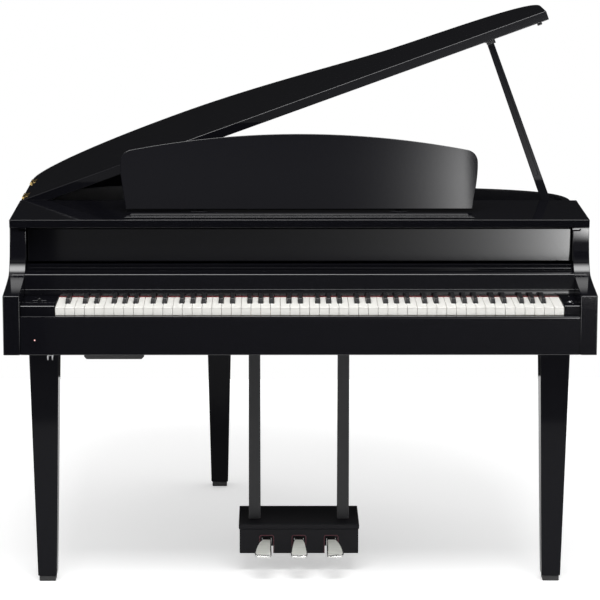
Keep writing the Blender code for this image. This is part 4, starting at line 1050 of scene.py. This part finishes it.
def turn_about(item, pivot, angle, axis):
    """Turns a piece's mesh about a line through the pivot."""
    pivot = Vector(pivot)
    item.data.transform(Matrix.Translation(pivot) @ Matrix.Rotation(angle, 4, axis) @ Matrix.Translation(-pivot))
    return item


def lid_pivot(shape):
    return Vector((CAD_BOX[0][0] + shape.hinge_in, 0.0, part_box("top_board")[1][2]))


def lid_board(shape, edge):
    """The lid: made closed, notched for its hinges, given its rubber bumper, then opened."""
    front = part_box("lid")[0][1]
    pivot = lid_pivot(shape)
    lid = slab("lid_board", wing_path(front), pivot.z - shape.lid_thickness, pivot.z - 0.0003)
    ease(lid, edge, 4, 60.0)
    for node in ("lid_hinge_front", "lid_hinge_rear"):
        low, high = (Vector(corner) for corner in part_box(node))
        room = add_box("notch", (pivot.x - 0.02, low.y - shape.knuckle_gap, pivot.z - shape.lid_thickness - 0.01),
                       (pivot.x + 0.0065, high.y + shape.knuckle_gap, pivot.z + 0.01))
        carve(lid, room)
    turn_about(smooth(lid, 40.0), pivot, -shape.lid_open, "Y")
    put(lid, "lid", FINISHES["black"], "polished_black", "lid")
    x, y = shape.bumper_place(front)
    under = pivot.z - shape.lid_thickness
    bumper = add_rod("lid_bumper", shape.bumper_radius, (x, y, under), (x, y, under - shape.bumper_height), 40)
    shaped(bumper, lambda centre, normal: normal.z < -0.9,
           lambda: bpy.ops.mesh.inset(thickness=shape.bumper_radius * 0.55),
           lambda: bpy.ops.transform.translate(value=(0.0, 0.0, shape.bumper_height * 0.25)))
    turn_about(smooth(ease(bumper, 0.0008, 3, 40.0), 50.0), pivot, -shape.lid_open, "Y")
    put(bumper, "lid", FINISHES["plastic"], "black_plastic")


def arm_board(node, sign, shape, edge):
    """One arm: a low front, a hollow curve and a rise up to the top board, notched at the top."""
    low, high = (Vector(corner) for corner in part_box(node))
    front, rise, base = low.y, low.y + shape.arm_rise, low.z + shape.arm_height
    hollow = (rise - 0.053, base + 0.018)
    profile = cubic(((front, base - 0.001), (rise - 0.143, base + 0.006), (rise - 0.093, base + 0.009), hollow), 12)
    profile += cubic((hollow, (rise - 0.020, base + 0.023), (rise - 0.001, base + 0.065), (rise, high.z)), 28)
    outline = [(front, low.z)] + [tuple(point) for point in profile]
    outline += [(rise, high.z), (high.y, high.z), (high.y, low.z)]
    arm = ease(slab(node + "_shaped", outline, low.x, high.x, "YZ"), edge, 3, 50.0)
    inner = min(abs(low.x), abs(high.x))
    top = high.z - shape.notch_drop
    bottom = top - shape.notch_height
    end = inner + shape.notch_width
    corners = [(inner - 0.002, bottom), (end - shape.notch_height / 2, bottom), (end, top), (inner - 0.002, top)]
    corners = [(sign * x, z) for x, z in corners]
    carve(arm, slab("notch", corners, rise - 0.010, rise + 0.010, "XZ"))
    return put(smooth(arm, 35.0), "case", FINISHES["black"], "polished_black", node)


def name_board(board, edge):
    """The strip behind the keys: a mirror face, a leaning face with a round nose, and two steps above it."""
    low, high = (Vector(corner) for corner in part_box("name_board"))
    front, back, bottom, top = low.y, high.y, low.z, high.z
    nose_z = top - board.nose_drop
    face = [(front, bottom), (front, bottom + board.mirror), (front + board.lean, nose_z)]
    nose = [(front + board.lean + board.nose * (1 - math.cos(a)), nose_z + 0.85 * board.nose * math.sin(a))
            for a in (math.radians(degrees) for degrees in range(20, 91, 10))]
    shelf = nose[-1][1]
    steps = [(back - 0.0348, shelf), (back - 0.036, top - 0.007), (back - 0.0188, top - 0.007), (back - 0.020, top),
             (back, top)]
    under = [(back, top - 0.011), (front + 0.0285, top - 0.026), (front + 0.0165, bottom + 0.0137),
             (front + 0.0105, bottom)]
    item = ease(slab("name_board_stepped", face + nose + steps + under, low.x, high.x, "YZ"), edge / 3, 2, 50.0)
    put(smooth(item, 35.0), "case", FINISHES["black"], "polished_black", "name_board")
    bead = add_rod("name_board_bead", board.bead, (low.x + 0.001, front + 0.0004, bottom + board.mirror),
                   (high.x - 0.001, front + 0.0004, bottom + board.mirror), 24)
    put(smooth(bead, 50.0), "case", FINISHES["black"], "polished_black")


def top_board(edge):
    """The board across the front, its front face leaning back under a finely rounded edge."""
    low, high = (Vector(corner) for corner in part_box("top_board"))
    section = [(low.y, high.z), (low.y + 0.003, low.z), (high.y, low.z), (high.y, high.z)]
    item = ease(slab("top_board_leaning", section, low.x, high.x, "YZ"), 0.75 * edge, 4, 50.0)
    put(smooth(item, 35.0), "case", FINISHES["black"], "polished_black", "top_board")


def deck_board(shape):
    """The speaker deck: a board wrapped in cloth, its edges rounded by it."""
    low, high = (Vector(corner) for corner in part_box("sound_deck"))
    outline = inset_path(wing_path(low.y), shape.wall + 0.0015)
    deck = smooth(ease(slab("sound_deck_wrapped", outline, low.z, high.z), 0.003, 5, 60.0), 50.0)
    return put(deck, "case", FINISHES["cloth"], "speaker_cloth", "sound_deck")


class PianoCase(bpy.types.Operator):
    """Rounds the edges of the case's panels, arms and boards"""
    bl_idname = "piano.case"
    bl_label = "Case"

    def execute(self, context):
        shape, edge = context.scene.piano_case, context.scene.piano_lacquer.edge
        case_rim(shape, edge)
        lid_board(shape, 1.25 * edge)
        arm_board("left_arm", -1, shape, edge)
        arm_board("right_arm", 1, shape, edge)
        deck_board(shape)
        top_board(edge)
        name_board(context.scene.piano_board, edge)
        slip = copy_of("key_slip", "key_slip_raised")
        shaped(slip, lambda centre, normal: normal.z > 0.9 and centre.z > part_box("key_slip")[1][2] - 0.001,
               lambda: bpy.ops.transform.translate(value=(0.0, 0.0, shape.slip_strip)))
        put(smooth(ease(slip, edge, 3, 50.0)), "case", FINISHES["black"], "polished_black", "key_slip")
        for node in ("left_end_block", "right_end_block", "key_cover_panel", "key_cover_leaf"):
            eased_panel(node, FINISHES["black"], "polished_black", edge / 2, 2, 50.0)
        eased_panel("bottom_board", FINISHES["satin"], "painted_board", edge / 2, 2, 50.0)
        eased_panel("key_frame", FINISHES["wood"], "frame_wood", edge / 2, 2, 50.0)
        return {"FINISHED"}


def white_key_set(node, finish, rounding, lip, plate):
    """White keys with rounded edges, whose tops stand a little over their fronts."""
    low, high = (Vector(corner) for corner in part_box(node))
    item = ease(copy_of(node, node + "_shaped"), rounding, 3, 30.0)
    room = add_box("room", (low.x - 0.01, low.y - 0.01, low.z - 0.01), (high.x + 0.01, low.y + lip, high.z - plate))
    return put(smooth(carve(item, room), 40.0), body_of(node), finish, "white_keytop", node)


def black_centres(node):
    """The middle of each black key across, from its front's two corners."""
    places = [vertex.co for vertex in frame["nodes"][node].data.vertices]
    front = min(place.y for place in places)
    sides = sorted({round(place.x, 5) for place in places if place.y < front + 0.0001})
    return [(left + right) / 2 for left, right in zip(sides[::2], sides[1::2])]


def black_key_model(node, keys):
    """One black key: a tapered, round-edged head with a sloping front, on the tail of the node."""
    low, high = (Vector(corner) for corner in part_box(node))
    white_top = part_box("white_key_c")[1][2]
    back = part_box("name_board")[0][1] - keys.head_gap
    middle = (low.x + high.x) / 2
    head = add_box("black key", low, (high.x, back, high.z))
    in_edit(head, lambda: bpy.ops.mesh.bisect(plane_co=(0.0, 0.0, white_top), plane_no=(0.0, 0.0, 1.0)))
    length = back - low.y
    shaped(head, lambda centre, normal: normal.z > 0.9 and centre.z > white_top + 0.001,
           lambda: bpy.ops.transform.resize(value=(1.0 - keys.taper, 1.0 - keys.slope / length, 1.0),
                                            center_override=(middle, back, high.z)))
    ease(head, keys.black_rounding, 4, 15.0)
    room = add_box("room", low - Vector((0.01, 0.01, 0.01)), (high.x + 0.01, back - 0.002, high.z + 0.01))
    tail = ease(carve(copy_of(node, "black key tail"), room), 0.0004, 2)
    return weld(head, tail)


class PianoKeys(bpy.types.Operator):
    """Rounds the white keys and shapes the black ones, each set on its own body"""
    bl_idname = "piano.keys"
    bl_label = "Keys"

    def execute(self, context):
        keys = context.scene.piano_keys
        nodes = [entry["node"] for entry in frame["record"]["subparts"]]
        for node in nodes:
            if node.startswith("white_key"):
                white_key_set(node, FINISHES["white_key"], keys.rounding, keys.lip, keys.plate)
        model = black_key_model("black_key_c_sharp", keys)
        home = black_centres("black_key_c_sharp")[0]
        for node in nodes:
            if not node.startswith("black_key"):
                continue
            heads = [twin(model, node + "_head", (centre - home, 0.0, 0.0)) for centre in black_centres(node)]
            item = gathered(node + "_shaped", heads)
            if len(heads) > 1:
                low, high = (Vector(corner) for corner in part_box(node))
                half = (black_centres("black_key_c_sharp")[0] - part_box("black_key_c_sharp")[0][0])
                bar = add_box("bar", (low.x + half, high.y - 0.012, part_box("white_key_c")[0][2] + 0.007),
                              (high.x - half, high.y - 0.002, high.z - 0.004))
                weld(item, bar)
            put(smooth(item, 40.0), body_of(node), FINISHES["black_key"], "black_keytop", node)
        drop(model)
        eased_panel("key_felt", FINISHES["felt"], "red_felt", 0.0005, 2)
        return {"FINISHED"}


def rest_outline(rest):
    """The music rest face on: a long flat board with round shoulders under a shallow arch."""
    wide = rest.half_bottom + 0.0155
    shoulder = rest.height - 0.042
    shoulder_x = wide - 0.030
    bottom = rest.half_bottom
    side = cubic(((bottom, 0.0), (bottom + 0.006, 0.040), (wide, 0.080), (wide, 0.118)), 8)
    side += cubic(((wide, 0.118), (wide, 0.140), (shoulder_x + 0.016, shoulder), (shoulder_x, shoulder + 0.002)), 14)
    rise = rest.height - shoulder - 0.002
    radius = (shoulder_x ** 2 + rise ** 2) / (2 * rise)
    steps = 26
    places = [shoulder_x * (1 - index / steps) for index in range(steps)]
    arch = [(x, rest.height - radius + math.sqrt(radius ** 2 - x ** 2)) for x in places]
    right = [tuple(point) for point in side] + arch
    return right + [(0.0, rest.height)] + [(-x, z) for x, z in reversed(right)]


class PianoMusicRest(bpy.types.Operator):
    """Builds the arched music rest with its ears and pins, its two struts and its ledge"""
    bl_idname = "piano.music_rest"
    bl_label = "Music rest"

    def execute(self, context):
        rest, edge = context.scene.piano_rest, context.scene.piano_lacquer.edge
        black, brass = FINISHES["black"], FINISHES["brass"]
        pivot = Vector((0.0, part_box("top_board")[0][1] + rest.foot_in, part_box("top_board")[1][2] + rest.foot_up))
        turn = Matrix.Translation(pivot) @ Matrix.Rotation(-rest.lean, 4, "X")
        board = ease(slab("music_rest_arched", rest_outline(rest), -rest.thickness, 0.0, "XZ"), edge, 4, 50.0)
        for sign in (-1, 1):
            centre = sign * rest.strut_spacing / 2
            for way in (-1, 1):
                inner = centre + way * rest.ear_inside
                outer = inner + way * rest.ear_thickness
                ear = add_box("ear", (min(inner, outer), -rest.thickness / 3, rest.strut_reach - rest.ear_half),
                              (max(inner, outer), rest.ear_depth, rest.strut_reach + rest.ear_half))
                weld(board, ease(ear, 0.0008, 2))
                head = (outer, rest.pin_back, rest.strut_reach)
                tip = (outer + way * 0.001, rest.pin_back, rest.strut_reach)
                pin = smooth(ease(add_rod("rest_pin_%s%s" % ("lr"[sign > 0], "io"[way * sign > 0]), 0.0014, head,
                                          tip, 20), 0.0005, 2), 50.0)
                pin.data.transform(turn)
                put(pin, body_of("music_rest"), brass, "brass_fitting")
        board.data.transform(turn)
        put(smooth(board, 35.0), body_of("music_rest"), black, "polished_black", "music_rest")
        for node in ("left_rest_strut", "right_rest_strut"):
            eased_panel(node, brass, "brass_fitting", 0.0006, 2, 50.0)
        eased_panel("music_ledge", black, "polished_black", edge / 2, 2, 50.0)
        return {"FINISHED"}


def lid_hinge(node, shape):
    """A hinge: a leaf on the rim with three screws, five barrels along the hinge line, and a leaf into the lid."""
    low, high = (Vector(corner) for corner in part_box(node))
    brass = FINISHES["brass"]
    pivot = lid_pivot(shape)
    radius = high.z - pivot.z
    leaf = ease(add_box(node + "_leaf", low, (high.x, high.y, pivot.z - 0.0010)), 0.0004, 2)
    put(smooth(leaf), "case", brass, "brass_fitting", node)
    count = 5
    pitch = (high.y - low.y) / count
    for index in range(count):
        start = low.y + index * pitch
        barrel = add_rod("%s_barrel_%d" % (node, index + 1), radius, (pivot.x, start + 0.0001, pivot.z),
                         (pivot.x, start + pitch - 0.0001, pivot.z), 36)
        smooth(ease(barrel, 0.0004, 2, 50.0), 50.0)
        if index % 2:
            turn_about(barrel, pivot, -shape.lid_open, "Y")
        put(barrel, "lid" if index % 2 else "case", brass, "brass_fitting")
        if index % 2 == 0:
            spot = (low.x, start + pitch / 2, (low.z + pivot.z) / 2)
            put(screw_head("%s_screw_%d" % (node, index + 1), spot, (-1.0, 0.0, 0.0), 0.0030, 0.0004),
                "case", brass, "brass_fitting")
    plate = add_box(node + "_lid_leaf", (pivot.x + radius * 0.5, low.y + 0.0005, pivot.z - 0.0008),
                    (pivot.x + 0.014, high.y - 0.0005, pivot.z + 0.0006))
    turn_about(smooth(ease(plate, 0.0003, 2)), pivot, -shape.lid_open, "Y")
    put(plate, "lid", brass, "brass_fitting")


class PianoLidFittings(bpy.types.Operator):
    """Builds the lid's hinges, the prop, its bracket, and the cup under the lid"""
    bl_idname = "piano.lid_fittings"
    bl_label = "Lid fittings"

    def execute(self, context):
        shape = context.scene.piano_case
        for node in ("lid_hinge_front", "lid_hinge_rear"):
            lid_hinge(node, shape)
        # The prop takes the legs' copy of the lacquer, with its painted light and dimmed reflection.
        eased_panel("lid_prop", FINISHES["leg"], "polished_black", 0.0018, 4, 50.0)
        eased_panel("prop_cup", FINISHES["post"], "satin_black", 0.0006, 2, 50.0)
        eased_panel("prop_bracket", FINISHES["post"], "satin_black", 0.0005, 2, 50.0)
        return {"FINISHED"}


def rounded_arch(half, low, top, corner, steps=8):
    """A slot's outline: straight sides, open at the bottom, with rounded top corners."""
    points = [(half, low)]
    for index in range(steps + 1):
        angle = math.pi / 2 * index / steps
        points.append((half - corner + corner * math.cos(angle), top - corner + corner * math.sin(angle)))
    return points + [(-x, z) for x, z in reversed(points)]


def pedal_spine(lyre, between=4):
    """Steps along a pedal: distance before the axle, half width, half height and height above the axle."""
    narrow, wide, thin, reach = lyre.neck / 2, lyre.pedal_width / 2, lyre.pedal_thickness / 2, lyre.pivot_in
    tip = reach + lyre.pedal_length
    knots = [(-0.009, narrow, 0.0050, 0.0), (0.0, narrow, 0.0085, 0.0), (0.012, narrow, 0.0075, 0.0),
             (0.030, narrow, thin, 0.0010), (reach - 0.012, narrow, thin, 0.0012),
             (reach + 0.004, narrow + 0.0008, thin, 0.0002), (reach + 0.020, narrow + 0.0048, thin, -0.0026),
             (reach + 0.040, narrow * 0.2 + wide * 0.8, thin, -0.0074), (tip - 0.024, wide, thin, -0.0122),
             (tip - 0.011, wide * 0.97, thin * 0.95, -0.0150), (tip - 0.003, wide * 0.80, thin * 0.80, -0.0162),
             (tip, wide * 0.5, thin * 0.45, -0.0167)]
    steps = []
    last = len(knots) - 1
    for index in range(last):
        before, a = Vector(knots[max(index - 1, 0)]), Vector(knots[index])
        b, after = Vector(knots[index + 1]), Vector(knots[min(index + 2, last)])
        for step in range(between):
            t = step / between
            steps.append(0.5 * (2 * a + (b - before) * t + (2 * before - 5 * a + 4 * b - after) * t ** 2
                                + (3 * a - before - 3 * b + after) * t ** 3))
    return steps + [Vector(knots[last])]


def pedal_rings(lyre, flare, around=32):
    """Sections along a pedal, from behind its axle to its tip, about the axle."""
    sections = []
    for distance, half_width, half_height, height in pedal_spine(lyre):
        shift = flare * max(0.0, half_width - lyre.neck / 2)
        ring = []
        for index in range(around):
            angle = 2 * math.pi * index / around
            a, b = math.cos(angle), math.sin(angle)
            ring.append(Vector((shift + math.copysign(abs(a) ** lyre.squareness, a) * half_width, -distance,
                                height + math.copysign(abs(b) ** lyre.squareness, b) * half_height)))
        sections.append(ring)
    return sections


def plate_rings(lyre, flare):
    """Sections of the satin plate on a pedal's top: blunt at both ends, and a little narrower than the pedal."""
    start, stop = lyre.pivot_in + lyre.plate_start, lyre.pivot_in + lyre.pedal_length - lyre.plate_margin
    sections = []
    for distance, half_width, half_height, height in pedal_spine(lyre, 12):
        if not start <= distance <= stop:
            continue
        corner = min(1.0, (distance - start) / 0.005, (stop - distance) / 0.007)
        half = half_width * 0.84 * (0.70 + 0.30 * math.sqrt(1 - (1 - corner) ** 2))
        shift = flare * max(0.0, half_width - lyre.neck / 2)
        top = height + half_height + lyre.plate_proud
        low = top - 0.0018
        sections.append([Vector((shift + a * half, -distance, z)) for a, z in
                         ((-1.0, low), (-1.0, top - 0.0004), (-0.965, top), (0.965, top), (1.0, top - 0.0004),
                          (1.0, low))])
    return sections


class PianoLyre(bpy.types.Operator):
    """Builds the pedal box with its felt-edged slots, the posts, the axle and the three pedals"""
    bl_idname = "piano.lyre"
    bl_label = "Pedal lyre"

    def execute(self, context):
        lyre = context.scene.piano_lyre
        low, high = (Vector(corner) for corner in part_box("pedal_box"))
        wall = lyre.wall
        box = ease(add_box("pedal_box_shaped", low, high), 0.0012, 3)
        room = add_box("room", (low.x + wall, low.y + wall, low.z - 0.01), (high.x - wall, high.y - wall, high.z + 0.01))
        carve(box, room)
        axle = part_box("pedal_axle")
        pivot_y, pivot_z = (axle[0][1] + axle[1][1]) / 2, (axle[0][2] + axle[1][2]) / 2
        top = low.z + lyre.slot_top
        for name, sign in (("left", -1), ("centre", 0), ("right", 1)):
            x = sign * lyre.spacing
            arch = [(x + a, z) for a, z in rounded_arch(lyre.slot_half, low.z - 0.01, top, lyre.slot_corner)]
            carve(box, slab("slot", arch, low.y - 0.01, low.y + wall + 0.01, "XZ"))
            inner = lyre.slot_half - lyre.felt
            outer = rounded_arch(lyre.slot_half - 0.0001, low.z + 0.0005, top - 0.0001, lyre.slot_corner)
            inside = rounded_arch(inner, low.z + 0.0005, top - lyre.felt, lyre.slot_corner - lyre.felt)
            ring = [(x + a, z) for a, z in outer + inside[::-1]]
            felt = slab(name + "_slot_felt", ring, low.y - lyre.felt_proud, low.y + wall + 0.0005, "XZ")
            put(smooth(ease(felt, 0.0004, 2, 60.0), 40.0), "case", FINISHES["slot_felt"], "red_felt")
            # Painted shade: a dark sheet behind the slot stands in for the shade inside the box, with an opening left
            # for the pedal's neck.
            shade_sheet = rounded_arch(lyre.slot_half + 0.003, low.z + lyre.shade_sheet_low, top + 0.003, lyre.slot_corner)
            cut_out = rounded_arch(lyre.shade_sheet_half, low.z + lyre.shade_sheet_low, top - lyre.shade_sheet_drop, 0.003)
            ring = [(x + a, z) for a, z in shade_sheet + cut_out[::-1]]
            shade_sheet_slab = slab(name + "_slot_shade_sheet", ring, low.y + wall + 0.0007, low.y + wall + 0.0027, "XZ")
            put(smooth(ease(shade_sheet_slab, 0.0003, 2, 60.0), 40.0), "case", FINISHES["satin"], "painted_board")
            plate = skin(name + "_pedal_plate", plate_rings(lyre, sign * 0.88))
            plate.data.transform(Matrix.Translation((x, pivot_y, pivot_z)))
            put(smooth(plate, 35.0), body_of(name + "_pedal"), FINISHES["pedal_plate"], "pedal_metal")
            pedal = skin(name + "_pedal_cast", pedal_rings(lyre, sign * 0.88))
            pedal.data.transform(Matrix.Translation((x, pivot_y, pivot_z)))
            carve(pedal, add_rod("bore", lyre.bore, (x - 0.03, pivot_y, pivot_z), (x + 0.03, pivot_y, pivot_z), 32))
            node = name + "_pedal"
            put(smooth(pedal, 40.0), body_of(node), FINISHES["pedal"], "pedal_metal", node)
        put(smooth(box, 35.0), "case", FINISHES["satin"], "painted_board", "pedal_box")
        eased_panel("pedal_box_top", FINISHES["satin"], "painted_board", 0.0012, 3, 50.0)
        rod = add_rod("pedal_axle_round", pivot_z - axle[0][2], (axle[0][0], pivot_y, pivot_z),
                      (axle[1][0], pivot_y, pivot_z), 40)
        put(smooth(ease(rod, 0.0006, 2, 50.0), 50.0), "case", FINISHES["steel"], "steel_fitting", "pedal_axle")
        for node in ("left_lyre_post", "right_lyre_post"):
            eased_panel(node, FINISHES["post"], "satin_black", 0.0012, 3)
        return {"FINISHED"}


class PianoLegs(bpy.types.Operator):
    """Rounds the edges of the three legs and their feet"""
    bl_idname = "piano.legs"
    bl_label = "Legs"

    def execute(self, context):
        edge = context.scene.piano_lacquer.edge
        for name in ("left_front", "right_front", "rear"):
            # The legs take their copy of the lacquer, painted a little lighter with a dimmed reflection.
            eased_panel(name + "_leg", FINISHES["leg"], "polished_black", edge, 3)
            eased_panel(name + "_foot", FINISHES["plastic"], "black_plastic", 0.0015, 3)
        return {"FINISHED"}


def middle_of(node):
    low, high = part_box(node)
    return (Vector(low) + Vector(high)) / 2


class PianoControls(bpy.types.Operator):
    """Builds the volume slider, the power button and its ring, and the power lamp in the key slip"""
    bl_idname = "piano.controls"
    bl_label = "Controls"

    def execute(self, context):
        plastic, satin = FINISHES["plastic"], FINISHES["control"]
        knob = ease(copy_of("volume_slider", "volume_slider_ribbed"), 0.0008, 3)
        low, high = (Vector(corner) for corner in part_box("volume_slider"))
        ribs = 5
        pitch = (high.x - low.x) / (ribs + 1)
        for index in range(ribs):
            x = low.x + (index + 1) * pitch
            carve(knob, add_box("groove", (x - 0.0003, low.y - 0.001, high.z - 0.0005),
                                (x + 0.0003, high.y + 0.001, high.z + 0.001)))
        put(smooth(knob, 40.0), body_of("volume_slider"), satin, "black_plastic", "volume_slider")
        middle = (low + high) / 2
        mark = add_box("volume_slider_mark", (middle.x - 0.0007, low.y + 0.0006, high.z - 0.0012),
                       (middle.x + 0.0007, high.y - 0.0006, high.z + 0.0001))
        put(smooth(ease(mark, 0.0003, 2)), body_of("volume_slider"), FINISHES["steel"], "steel_fitting")
        low, high = (Vector(corner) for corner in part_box("power_button"))
        centre = middle_of("power_button")
        radius, tall = (high.x - low.x) / 2, high.z - low.z
        cap = [(0.0, tall - 0.0007), (radius - 0.0016, tall - 0.0004), (radius - 0.0009, tall), (radius - 0.0004, tall),
               (radius, tall - 0.0006), (radius, 0.0), (0.0, 0.0)]
        button = smooth(lathe("power_button_dished", cap, (centre.x, centre.y, low.z), 40), 40.0)
        put(button, body_of("power_button"), satin, "black_plastic", "power_button")
        block_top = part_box("right_end_block")[1][2]
        ring = [(radius + 0.0006, 0.0006), (radius + 0.0010, 0.0010), (radius + 0.0016, 0.0008),
                (radius + 0.0019, 0.0), (radius + 0.0019, -0.0002), (radius + 0.0006, -0.0002),
                (radius + 0.0006, 0.0006)]
        bezel = smooth(lathe("power_button_ring", ring, (centre.x, centre.y, block_top), 48), 60.0)
        put(bezel, "case", FINISHES["steel"], "steel_fitting")
        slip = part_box("key_slip")
        x, z = CAD_BOX[0][0] + 0.076, slip[0][2] + 0.037
        front = slip[0][1] + 0.0008
        lens = add_rod("power_lamp_lens", 0.0017, (x, front + 0.002, z), (x, front - 0.0012, z), 32)
        put(smooth(ease(lens, 0.0008, 4, 50.0), 60.0), "case", FINISHES["lamp"], "black_plastic")
        for sign, node in ((-1, "left_end_block"), (1, "right_end_block")):
            low, high = (Vector(corner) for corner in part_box(node))
            for place_y, label in ((0.028, "front"), (0.118, "rear")):
                if sign > 0:
                    spot = (middle_of(node).x + 0.004, low.y + place_y, high.z)
                    put(screw_head("%s_stud_%s" % (node, label), spot, (0.0, 0.0, 1.0), 0.0028, 0.0012),
                        "case", FINISHES["steel"], "steel_fitting")
        return {"FINISHED"}


class PianoUnderside(bpy.types.Operator):
    """Builds the jack box, the wire headphone hook and its screw, and the woofers"""
    bl_idname = "piano.underside"
    bl_label = "Underside"

    def execute(self, context):
        eased_panel("jack_box", FINISHES["plastic"], "black_plastic", 0.0007, 3, 40.0)
        low, high = (Vector(corner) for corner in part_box("headphone_hook"))
        x, top, radius = (low.x + high.x) / 2, high.z, 0.0014
        half = (high.x - low.x) / 2 - radius
        back, bend = low.y + 0.0205, 0.0083
        side = [(back, top - 0.001), (back, top - 0.008), (back, top - 0.016), (back - 0.002, top - 0.0235),
                (back - bend, top - 0.0262), (back - 2 * bend + 0.002, top - 0.0235),
                (back - 2 * bend - 0.0005, top - 0.016), (back - 2 * bend - 0.001, top - 0.0125)]
        tip = (x, side[-1][0], top - 0.0112)
        points = [(x - half, a, z) for a, z in side] + [tip] + [(x + half, a, z) for a, z in side[::-1]]
        hook = wire("headphone_hook_wire", points, radius)
        plate = ease(add_box("plate", (low.x, back - 0.006, top - 0.0024), (high.x, high.y, top)), 0.0006, 2)
        weld(hook, plate)
        put(smooth(hook, 40.0), "case", FINISHES["steel"], "steel_fitting", "headphone_hook")
        screw = screw_head("headphone_hook_screw", (x, high.y - 0.005, top - 0.0024), (0.0, 0.0, -1.0), 0.0026, 0.0010)
        put(screw, "case", FINISHES["steel"], "steel_fitting")
        for node in ("left_woofer", "right_woofer"):
            self.woofer(node)
        return {"FINISHED"}

    def woofer(self, node):
        low, high = (Vector(corner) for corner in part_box(node))
        centre = middle_of(node)
        radius, depth = (high.x - low.x) / 2, high.z - low.z
        bell = [(0.0, depth), (radius * 0.48, depth), (radius * 0.50, depth * 0.985), (radius * 0.50, depth * 0.71),
                (radius * 0.485, depth * 0.69), (radius * 0.38, depth * 0.66), (radius * 0.50, depth * 0.42),
                (radius * 0.93, 0.008), (radius * 0.99, 0.005), (radius, 0.004), (radius, 0.0006),
                (radius * 0.995, 0.0), (radius * 0.86, 0.0)]
        roll = [(radius * (0.80 - 0.05 * math.cos(a)), 0.0045 - 0.0042 * math.sin(a))
                for a in (math.pi * step / 10 for step in range(10, -1, -1))]
        cone = [(radius * 0.74, 0.006), (radius * 0.60, depth * 0.155), (radius * 0.45, depth * 0.265),
                (radius * 0.32, depth * 0.355)]
        dome = [(radius * 0.31 * math.sin(a), depth * (0.37 - 0.13 * math.cos(a) + 0.02))
                for a in (math.pi / 2 * step / 8 for step in range(8, -1, -1))]
        item = lathe(node + "_turned", bell + roll + cone + dome, (centre.x, centre.y, low.z), 72)
        put(smooth(item, 35.0), "case", FINISHES["plastic"], "driver_black", node)


class PianoCoverHinges(bpy.types.Operator):
    """Builds the long hinge between the key cover's leaves and the one at its foot"""
    bl_idname = "piano.cover_hinges"
    bl_label = "Key cover hinges"

    def execute(self, context):
        low, high = (Vector(corner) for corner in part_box("key_cover_panel"))
        y = low.y - 0.0003
        for name, z, body in (("key_cover_top_hinge", high.z, body_of("key_cover_panel")),
                              ("key_cover_foot_hinge", low.z, "case")):
            barrel = add_rod(name, 0.0016, (low.x + 0.004, y, z), (high.x - 0.004, y, z), 16)
            in_edit(barrel, *[lambda x=x: bpy.ops.mesh.bisect(plane_co=(x, 0.0, 0.0), plane_no=(1.0, 0.0, 0.0))
                              for x in (low.x + 0.004 + (high.x - low.x - 0.008) * step / 24 for step in range(1, 24))])
            put(smooth(barrel, 50.0), body, FINISHES["post"], "satin_black")
        return {"FINISHED"}


CLASSES = (StudioSettings, LacquerSettings, CaseSettings, BoardSettings, RestSettings, LyreSettings, KeySettings, FittingSettings, PianoStage, PianoFinishes, PianoCase,
           PianoKeys, PianoMusicRest, PianoLidFittings, PianoLyre, PianoLegs,
           PianoControls, PianoUnderside, PianoCoverHinges)
STEPS = ("stage", "finishes", "case", "keys", "music_rest", "lid_fittings", "lyre", "legs", "controls", "underside",
         "cover_hinges")


class PianoPanel(bpy.types.Panel):
    """Lists the piano's pieces in the order in which they are built"""
    bl_idname = "VIEW3D_PT_piano"
    bl_label = "Digital grand piano"
    bl_space_type = "VIEW_3D"
    bl_region_type = "UI"
    bl_category = "Piano"

    def draw(self, context):
        for step in STEPS:
            self.layout.operator("piano." + step)


def register():
    for kind in (*CLASSES, PianoPanel):
        bpy.utils.register_class(kind)
    bpy.types.Scene.piano_studio = PointerProperty(type=StudioSettings)
    bpy.types.Scene.piano_lacquer = PointerProperty(type=LacquerSettings)
    bpy.types.Scene.piano_case = PointerProperty(type=CaseSettings)
    bpy.types.Scene.piano_board = PointerProperty(type=BoardSettings)
    bpy.types.Scene.piano_rest = PointerProperty(type=RestSettings)
    bpy.types.Scene.piano_lyre = PointerProperty(type=LyreSettings)
    bpy.types.Scene.piano_keys = PointerProperty(type=KeySettings)
    bpy.types.Scene.piano_fittings = PointerProperty(type=FittingSettings)


def unregister():
    for label in ("piano_studio", "piano_lacquer", "piano_case", "piano_board", "piano_rest", "piano_lyre", "piano_keys", "piano_fittings"):
        delattr(bpy.types.Scene, label)
    for kind in reversed((*CLASSES, PianoPanel)):
        bpy.utils.unregister_class(kind)


def main():
    register()
    for step in STEPS:
        getattr(bpy.ops.piano, step)()


if __name__ == "__main__":
    main()
